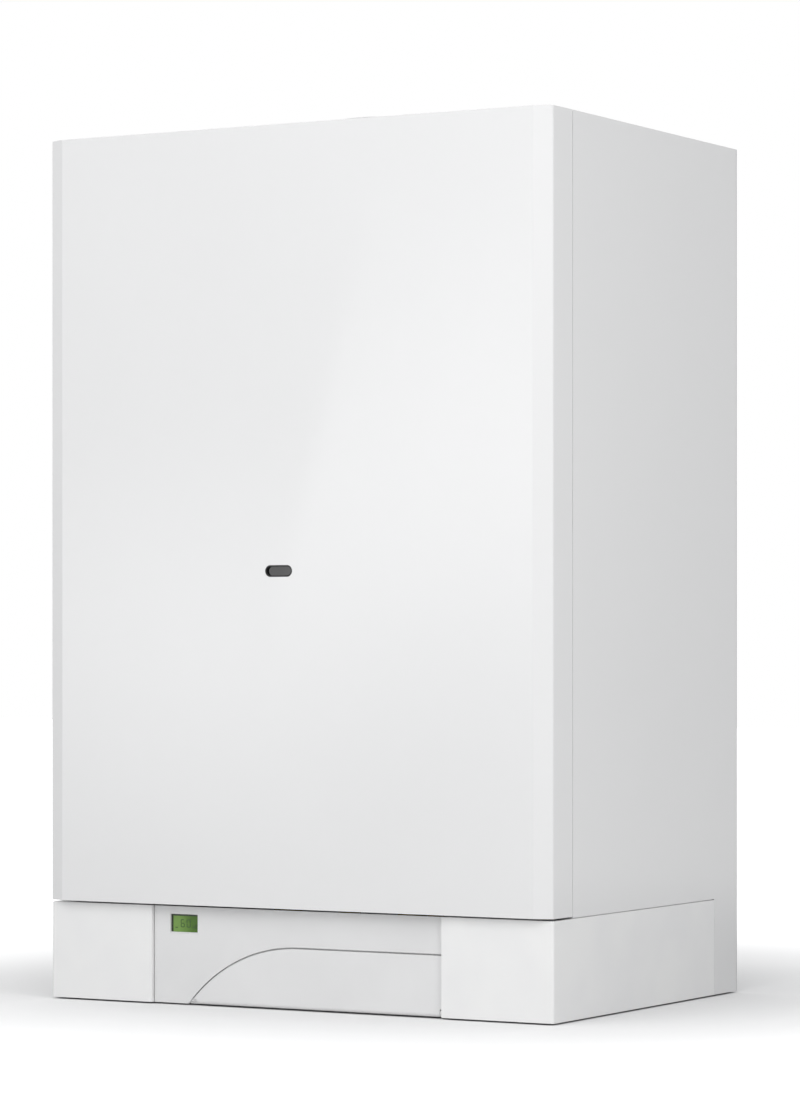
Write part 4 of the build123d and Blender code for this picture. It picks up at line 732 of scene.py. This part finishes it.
@dataclass
class Connections:
    """The five brass connections with their threads and backnuts, in millimetres."""

    pitch: float = 65.0
    back: float = -150.0
    low: float = -702.0
    floor: float = -623.5
    nut_low: float = -635.0
    nut_high: float = -625.0
    nut_margin: float = 6.0
    nut_chamfer: float = 1.2
    radii: tuple[float, ...] = (13.2, 10.5, 13.2, 10.5, 13.2)
    wall: float = 2.2
    mouth_chamfer: float = 0.4
    mouth_chamfer_height: float = 0.6
    runout_turns: float = 1.5
    shoulder: float = 1.0
    thread_pitch: float = 1.814
    thread_depth: float = 1.0
    thread_sink: float = 0.05
    thread_start: float = 1.2
    thread_turns: int = 13
    ridge_half: float = 0.42
    steps: int = 32

    def build(self, kit: Kit) -> None:
        """Make the threaded connections in place of the plain ones."""
        mesh = bmesh.new()
        for i, radius in enumerate(self.radii):
            x = self.pitch * (i - 2)
            self.add_body(mesh, x, radius)
            self.add_thread(mesh, x, radius)
            self.add_backnut(mesh, x, radius)
        made = kit.piece(mesh, "threaded_connections", Body.CHASSIS, [BRASS])
        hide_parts("connection_tails")

    def corners(
        self, mesh: BMesh, x: float, section: Iterable[tuple[float, float]]
    ) -> list[BMVert]:
        """Set a section's corners, given as radius and height, beside the axis at x."""
        return [mesh.verts.new(Vector((x + r, self.back, z)) * MM) for r, z in section]

    def add_body(self, mesh: BMesh, x: float, radius: float) -> None:
        """Spin one pipe end's section: bore, chamfered mouth, thread root and full-size neck."""
        root = radius - self.thread_depth
        top = self.low + self.thread_pitch * (self.thread_turns + self.runout_turns)
        bore = radius - self.wall
        verts = self.corners(mesh, x, [
            (bore, self.low), (root - self.mouth_chamfer, self.low),
            (root, self.low + self.mouth_chamfer_height), (root, top),
            (radius, top + self.shoulder), (radius, self.floor), (bore, self.floor),
        ])
        edges = [mesh.edges.new((a, b)) for a, b in zip(verts, verts[1:] + verts[:1])]
        centre = Vector((x, self.back, 0.0)) * MM
        bmesh.ops.spin(mesh, geom=verts + edges, cent=centre, axis=(0.0, 0.0, 1.0), angle=tau,
                       steps=64, use_merge=True, use_duplicate=False)

    def add_thread(self, mesh: BMesh, x: float, radius: float) -> None:
        """Wind the thread's ridge up the pipe end."""
        root = radius - self.thread_depth - self.thread_sink
        low = self.low + self.thread_start
        half = self.thread_pitch * self.ridge_half
        verts = self.corners(mesh, x, [
            (root, low), (radius, low + half * 0.85), (radius, low + half * 1.15),
            (root, low + 2 * half),
        ])
        face = mesh.faces.new(verts)
        bmesh.ops.spin(mesh, geom=[face] + list(face.edges) + verts,
                       cent=Vector((x, self.back, 0.0)) * MM, axis=(0.0, 0.0, 1.0),
                       dvec=Vector((0.0, 0.0, self.thread_pitch * MM / self.steps)),
                       angle=tau * self.thread_turns, steps=self.thread_turns * self.steps,
                       use_merge=False, use_duplicate=False)

    def add_backnut(self, mesh: BMesh, x: float, radius: float) -> None:
        """Add the hexagonal backnut with both its corners turned off."""
        flat = radius + self.nut_margin
        depth = (self.nut_high - self.nut_low) * MM
        middle = Vector((x, self.back, (self.nut_low + self.nut_high) / 2)) * MM
        corner = flat / cos(pi / 6) * MM
        made = bmesh.ops.create_cone(mesh, cap_ends=True, segments=6, radius1=corner,
                                     radius2=corner, depth=depth,
                                     matrix=Matrix.Translation(middle))
        faces = {face for vert in made["verts"] for face in vert.link_faces}
        rims = {edge for face in faces if abs(face.normal.z) > 0.9 for edge in face.edges}
        bmesh.ops.bevel(mesh, geom=list(rims), offset=self.nut_chamfer * MM,
                        offset_type="OFFSET", affect="EDGES", segments=2, profile=0.5,
                        material=-1, clamp_overlap=True)


@dataclass
class Display:
    """What the small green display shows, and the painted shadow along its window's edges, in
    millimetres.
    """

    left: float = -127.2
    right: float = -99.2
    low: float = -648.25
    high: float = -632.75
    pane_y: float = -349.0
    fascia_y: float = -350.5
    digit_insets: tuple[float, float] = (9.5, 15.6)
    digit_rise: float = 4.0
    digit_height: float = 7.0
    digit_width: float = 4.0
    stroke: float = 0.75
    marks_rise: float = 3.4
    bar_inset: float = 21.4
    bar_step: float = 1.3
    bar_width: float = 0.8
    # How far the painted shadow reaches past and into the window's edges.
    mask_past_side: float = 1.0
    mask_past_end: float = 0.6
    mask_top: float = 1.6
    mask_left: float = 2.0
    mask_right: float = 0.7
    lip_width: float = 1.1
    lip_rise: float = 0.35

    def build(self, kit: Kit) -> None:
        """Add the segments, the dark painted shadow and the lip of the window."""
        self.build_segments(kit)
        self.build_mask(kit)
        self.build_lip(kit)

    def add_mark(self, mesh: BMesh, x0: float, x1: float, z0: float, z1: float) -> None:
        """Lay one thin dark mark on the window."""
        box_between(mesh, (x0, self.pane_y - 0.06, z0), (x1, self.pane_y - 0.01, z1))

    def build_segments(self, kit: Kit) -> None:
        """Lay two seven-segment digits, a row of growing bars and a dash on the window."""
        mesh = bmesh.new()
        for digit, inset in zip((6, 0), self.digit_insets):
            self.add_digit(mesh, digit, self.left + inset)
        z = self.low + self.marks_rise
        for i in range(4):
            x = self.left + self.bar_inset + self.bar_step * i
            self.add_mark(mesh, x, x + self.bar_width, z, z + 1.0 + i)
        self.add_mark(mesh, self.left + 4.0, self.left + 6.6, z, z + 0.8)
        kit.piece(mesh, "display_segments", Body.CONTROL_BOX, [CRYSTAL_DARK])

    def add_digit(self, mesh: BMesh, digit: int, x: float) -> None:
        """Draw one digit from its lit segments.

        Args:
            mesh: The mesh to add to.
            digit: The number shown, 0 or 6.
            x: The digit's left edge.
        """
        lit = {0: "abcdef", 6: "acdefg"}[digit]
        w, h, t = self.digit_width, self.digit_height, self.stroke
        z = self.low + self.digit_rise
        upper, lower = (h / 2 + t / 3, h - t / 2), (t / 2, h / 2 - t / 3)
        spans = {
            "a": (t, w - t, h - t, h), "g": (t, w - t, (h - t) / 2, (h + t) / 2),
            "d": (t, w - t, 0.0, t), "f": (0.0, t, *upper), "b": (w - t, w, *upper),
            "e": (0.0, t, *lower), "c": (w - t, w, *lower),
        }
        for name in lit:
            x0, x1, z0, z1 = spans[name]
            self.add_mark(mesh, x + x0, x + x1, z + z0, z + z1)

    def build_mask(self, kit: Kit) -> None:
        """Lay a dark painted shadow along the window's top, left and right edges, which its rim
        shades.
        """
        mesh = bmesh.new()
        front, back = self.pane_y - 0.09, self.pane_y - 0.02
        out_left, out_right = self.left - self.mask_past_side, self.right + self.mask_past_side
        out_low, out_high = self.low - self.mask_past_end, self.high + self.mask_past_end
        top = self.high - self.mask_top
        for x0, x1, z0, z1 in (
            (out_left, out_right, top, out_high),
            (out_left, self.left + self.mask_left, out_low, top),
            (self.right - self.mask_right, out_right, out_low, top),
        ):
            box_between(mesh, (x0, front, z0), (x1, back, z1))
        kit.piece(mesh, "display_painted_shadow", Body.CONTROL_BOX, [PAINTED_RIM_SHADOW])

    def build_lip(self, kit: Kit) -> None:
        """Round the window's edge with a thin raised lip that catches the light."""
        mesh = bmesh.new()
        width, rise = self.lip_width, self.lip_rise
        loops = []
        for out, up in ((0.0, -0.1), (0.15, rise), (width - 0.3, rise), (width, 0.0)):
            left, right = self.left - out, self.right + out
            low, high = self.low - out, self.high + out
            loops.append([
                mesh.verts.new(Vector((x, self.fascia_y - up, z)) * MM)
                for x, z in ((left, low), (right, low), (right, high), (left, high))
            ])
        for inner, outer in zip(loops, loops[1:]):
            for i in range(4):
                j = (i + 1) % 4
                mesh.faces.new((inner[i], inner[j], outer[j], outer[i]))
        # The lip takes the flap's lighter grey, which is painted light.
        kit.piece(mesh, "display_lip", Body.CONTROL_BOX, [GREY_FLAP_PAINTED_LIGHTER])


@dataclass
class ControlMarks:
    """The gauge's dial and the printed scales round the knobs, in millimetres."""

    gauge_x: float = 117.7
    knob_xs: tuple[float, float] = (67.7, 23.7)
    button_xs: tuple[float, float] = (-12.3, -30.3)
    level: float = -682.0
    button_level: float = -686.0
    button_mark_rise: float = 9.0
    well_y: float = -336.5
    dial_stand: float = 2.0
    dial_radius: float = 16.6
    dial_depth: float = 0.35
    numbers_inset: float = 6.4
    number_height: float = 2.6
    scale_radius: float = 17.6
    scale_start: float = -135.0
    scale_sweep: float = 270.0
    print_depth: float = 0.05

    def build(self, kit: Kit) -> None:
        """Add the dial, its numbers and the scales."""
        self.build_dial(kit)
        self.build_scales(kit)

    def angle(self, share: float) -> float:
        """The angle at a share of the scale, clockwise from the top, seen from the front."""
        return self.scale_start + self.scale_sweep * share

    def spot(self, x: float, z: float, radius: float, share: float) -> tuple[float, float]:
        """The point on a circle round x and z that lies at a share of the scale."""
        turn = radians(self.angle(share))
        return x + radius * sin(turn), z + radius * cos(turn)

    def build_dial(self, kit: Kit) -> None:
        """Set a white dial in the gauge, with ticks, a red end and the numbers 0 to 4."""
        mesh = bmesh.new()
        rim = self.dial_radius
        y = self.well_y - self.dial_stand - self.dial_depth
        disc_facing(mesh, (self.gauge_x, y, self.level), rim, self.dial_depth - 0.02, 64)
        for i in range(21):
            length, width = (3.2, 0.5) if i % 5 == 0 else (1.8, 0.28)
            self.add_tick(mesh, i / 20, rim - 1.0 - length, rim - 1.0, width, y, 1)
        for i in range(13):
            self.add_tick(mesh, 0.75 + 0.25 * i / 12, rim - 1.0, rim - 0.3, 1.6, y, 2)
        for i in range(5):
            x, z = self.spot(self.gauge_x, self.level, rim - self.numbers_inset, i / 4)
            join(mesh, text_mesh(str(i), self.number_height, (x, y - 0.02, z)), 1)
        kit.piece(mesh, "gauge_dial", Body.CONTROL_BOX,
                  [DIAL_WHITE, PRINT_BLACK, RED_PLASTIC])

    def add_tick(
        self, mesh: BMesh, share: float, inner: float, outer: float, width: float, y: float,
        index: int,
    ) -> None:
        """Add one tick of the dial as a thin bar turned to its angle.

        Args:
            mesh: The mesh to add to.
            share: Where it stands on the scale, 0 to 1.
            inner: Its inner end's radius.
            outer: Its outer end's radius.
            width: Its width.
            y: The dial's face.
            index: Material index of its faces.
        """
        faces = box_between(mesh, (-width / 2, y - 0.04, inner), (width / 2, y + 0.01, outer),
                            index)
        verts = list({vert for face in faces for vert in face.verts})
        centre = Matrix.Translation(Vector((self.gauge_x, 0.0, self.level)) * MM)
        turn = Matrix.Rotation(radians(self.angle(share)), 4, "Y")
        bmesh.ops.transform(mesh, matrix=centre @ turn, verts=verts)

    def build_scales(self, kit: Kit) -> None:
        """Print a ring of growing dots round each knob and a dot over each button."""
        mesh = bmesh.new()
        depth = self.print_depth
        y = self.well_y - depth
        for knob_x in self.knob_xs:
            for i in range(10):
                x, z = self.spot(knob_x, self.level, self.scale_radius, i / 9)
                disc_facing(mesh, (x, y, z), 0.45 + 0.06 * i, depth, 20)
        for x in self.button_xs:
            z = self.button_level + self.button_mark_rise
            disc_facing(mesh, (x, y, z), 0.9, depth, 24)
        kit.piece(mesh, "knob_scales", Body.CONTROL_BOX, [PRINT_GREY])


@dataclass
class Studio:
    """Pale floor, white surroundings, soft lights and the camera. Lengths are in metres."""

    sky_strength: float = 0.47
    floor_z: float = -0.7115
    floor_reach: float = 9.0
    floor_middle: tuple[float, float, float] = (0.0, -0.18, -0.7115)
    floor_lift: float = 0.34
    white_from: float = 0.35
    white_to: float = 1.1
    mirror_from: float = 0.6
    mirror_to: float = 2.2
    shadow_reach: float = 0.3
    shadow_power: float = 2.0
    azimuth: float = 29.9
    camera_place: tuple[float, float, float] = (1.7833, -3.2732, -0.388)
    focal_px: float = 4012.0
    image_height_px: float = 1103.0
    horizon_below_middle_px: float = 80.5

    def build(self) -> None:
        """Set everything up round the boiler."""
        self.build_world()
        self.build_floor()
        self.build_lights()
        self.build_cards()
        self.build_camera()

    def build_world(self) -> None:
        """Light from all sides, and plain white where a camera or a gloss looks past it."""
        world = bpy.data.worlds.new("studio")
        bpy.context.scene.world = world
        world.use_nodes = True
        tree = world.node_tree
        tree.nodes.clear()
        soft = add_node(tree, "ShaderNodeBackground", {
            "Color": linear("#F7F8FA"), "Strength": self.sky_strength,
        })
        white = add_node(tree, "ShaderNodeBackground", {
            "Color": (1.0, 1.0, 1.0, 1.0), "Strength": 1.0,
        })
        path = add_node(tree, "ShaderNodeLightPath").outputs
        direct = combine(tree, "MAXIMUM", path["Is Camera Ray"], path["Is Glossy Ray"])
        seen = combine(tree, "MAXIMUM", direct, path["Is Transmission Ray"])
        mixed = blend(tree, seen, soft.outputs["Background"], white.outputs["Background"])
        add_node(tree, "ShaderNodeOutputWorld", {"Surface": mixed})

    def floor_glow(self, tree: NodeTree, away: Socket) -> Socket:
        """The light that lifts the floor to white in the open, less of it near the object and
        where the object is close, which paints a soft shadow round its base.
        """
        grow = smooth_step(tree, away, self.white_from, self.white_to, self.floor_lift, 1.0)
        # Painted shadow: ambient occlusion dims the floor's glow where the object is close.
        sky = add_node(tree, "ShaderNodeAmbientOcclusion", {"Distance": self.shadow_reach})
        near = combine(tree, "POWER", sky.outputs["AO"], self.shadow_power)
        return emission(tree, combine(tree, "MULTIPLY", grow, near))

    def build_floor(self) -> None:
        """A floor that is white in the open, keeps the lamps' shadow, adds a painted shadow round
        the object and is clear from below.

        Glosses see it white further off, so that no horizon shows in them.
        """
        mesh = bmesh.new()
        bmesh.ops.create_grid(mesh, x_segments=8, y_segments=8, size=self.floor_reach,
                              matrix=Matrix.Translation((0.0, 0.0, self.floor_z)))
        made, tree = blank_material("pale_floor")
        matt = add_node(tree, "ShaderNodeBsdfDiffuse", {"Color": linear("#E4E4E4")})
        place = add_node(tree, "ShaderNodeTexCoord").outputs["Object"]
        away = add_node(tree, "ShaderNodeVectorMath", {0: place, 1: self.floor_middle},
                        operation="DISTANCE").outputs["Value"]
        path = add_node(tree, "ShaderNodeLightPath").outputs
        seen = combine(tree, "MAXIMUM", path["Is Camera Ray"], path["Is Transmission Ray"])
        lift = blend(tree, seen, emission(tree, 0.0), self.floor_glow(tree, away))
        lit = add_node(tree, "ShaderNodeAddShader", {0: matt.outputs["BSDF"], 1: lift})
        far = smooth_step(tree, away, self.mirror_from, self.mirror_to, 0.0, 1.0)
        mirrored = combine(tree, "MULTIPLY", far, path["Is Glossy Ray"])
        whole = blend(tree, mirrored, lit.outputs["Shader"], emission(tree, 1.0))
        below = add_node(tree, "ShaderNodeNewGeometry").outputs["Backfacing"]
        clear = add_node(tree, "ShaderNodeBsdfTransparent").outputs["BSDF"]
        surface = blend(tree, below, whole, clear)
        add_node(tree, "ShaderNodeOutputMaterial", {"Surface": surface})
        floor = mesh_object("studio_floor", mesh, [made])

    def area_light(
        self, name: str, place: Sequence[float], target: Sequence[float],
        size: tuple[float, float], power: float,
    ) -> None:
        """Hang a soft rectangular light that glosses don't see.

        Args:
            name: The light's name.
            place: Where it hangs.
            target: What it points at.
            size: Its width and height.
            power: Its power in watts.
        """
        lamp = bpy.data.lights.new(name, "AREA")
        lamp.shape = "RECTANGLE"
        lamp.size, lamp.size_y = size
        lamp.energy = power
        made = bpy.data.objects.new(name, lamp)
        made.location = place
        made.visible_glossy = False
        aim = Vector(target) - Vector(place)
        made.rotation_euler = aim.to_track_quat("-Z", "Y").to_euler()
        bpy.context.scene.collection.objects.link(made)

    def build_lights(self) -> None:
        """A large light above the front, one beside the right and a weak one from the left."""
        self.area_light("top_softbox", place=(0.1, -2.0, 1.1), target=(0.0, -0.25, -0.4),
                        size=(2.4, 1.8), power=26.0)
        self.area_light("side_softbox", place=(1.4, -1.05, 0.0), target=(0.25, -0.25, -0.33),
                        size=(0.5, 1.3), power=6.4)
        self.area_light("left_softbox", place=(-1.4, -1.7, -0.1), target=(-0.1, -0.36, -0.35),
                        size=(0.8, 1.4), power=2.0)

    def build_cards(self) -> None:
        """Two glowing cards far to the left, which lay a broad bright band in the front's gloss.

        The right one ends in a straight slanted edge, which shows as a fine diagonal line.
        """
        edge_low = Vector((-1.289, -2.495, -0.208))
        edge_high = Vector((-1.143, -2.507, 0.358))
        edge_middle = Vector((-1.137, -2.526, -0.122))
        panel_spot = Vector((0.1, -0.36, -0.23))
        along = (edge_high - edge_low).normalized()
        across = (panel_spot - edge_middle).normalized().cross(along).normalized()
        start, wide, tall = edge_low - along * 0.7, across * 1.0, along * 1.6
        self.glowing_card("right_card", [start, start + wide, start + wide + tall, start + tall],
                          middle=Vector((-1.03, -2.546, -0.14)), reach=(0.62, 0.5), strength=1.4)
        middle = Vector((-1.51, -2.51, -0.40))
        side, up = across * 0.6, Vector((0.0, 0.0, 0.6))
        corners = [middle - side - up, middle + side - up, middle + side + up, middle - side + up]
        self.glowing_card("left_card", corners, middle, reach=(0.5, 0.42), strength=1.3)

    def glowing_card(
        self, name: str, corners: Sequence[Vector], middle: Vector, reach: tuple[float, float],
        strength: float,
    ) -> None:
        """Hang a card whose glow fades from its middle; only glosses see it.

        Args:
            name: The card's name.
            corners: Its four corners.
            middle: Where it glows most.
            reach: How far the glow goes level and upright.
            strength: The glow in its middle.
        """
        mesh = bmesh.new()
        mesh.faces.new([mesh.verts.new(corner) for corner in corners])
        made, tree = blank_material(f"{name}_glow")
        place = add_node(tree, "ShaderNodeTexCoord").outputs["Object"]
        offset = add_node(tree, "ShaderNodeVectorMath", {0: place, 1: middle},
                          operation="SUBTRACT").outputs["Vector"]
        level, upright = 1.0 / reach[0], 1.0 / reach[1]
        scaled = add_node(tree, "ShaderNodeVectorMath", {0: offset, 1: (level, level, upright)},
                          operation="MULTIPLY").outputs["Vector"]
        far = add_node(tree, "ShaderNodeVectorMath", {0: scaled},
                       operation="LENGTH").outputs["Value"]
        glow = emission(tree, smooth_step(tree, far, 0.0, 1.0, strength, 0.0))
        clear = add_node(tree, "ShaderNodeBsdfTransparent").outputs["BSDF"]
        both = add_node(tree, "ShaderNodeAddShader", {0: glow, 1: clear})
        add_node(tree, "ShaderNodeOutputMaterial", {"Surface": both.outputs["Shader"]})
        card = mesh_object(name, mesh, [made])
        card.visible_camera = False
        card.visible_diffuse = False
        card.visible_transmission = False
        card.visible_shadow = False

    def build_camera(self) -> None:
        """A level camera to the right of the front, with its frame raised a little."""
        data = bpy.data.cameras.new("camera")
        data.sensor_fit = "AUTO"
        data.sensor_width = 36.0
        data.lens = self.focal_px / self.image_height_px * data.sensor_width
        data.shift_y = self.horizon_below_middle_px / self.image_height_px
        data.clip_start, data.clip_end = 0.05, 60.0
        camera = bpy.data.objects.new("camera", data)
        camera.location = self.camera_place
        camera.rotation_euler = (pi / 2, 0.0, radians(self.azimuth))
        bpy.context.scene.collection.objects.link(camera)
        bpy.context.scene.camera = camera


def main() -> None:
    """Load the frame, dress it, add the fine pieces and set up the studio."""
    logging.basicConfig(level=logging.INFO, format="%(name)s: %(message)s")
    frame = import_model()
    kit = Kit()
    Casing(frame["nodes"]).dress()
    for assembly in (Connections(), Display(), ControlMarks()):
        assembly.build(kit)
    Studio().build()
    bpy.context.scene.view_settings.view_transform = "Standard"
    LOG.info("new pieces: %s", ", ".join(kit.made))


if __name__ == "__main__":
    main()
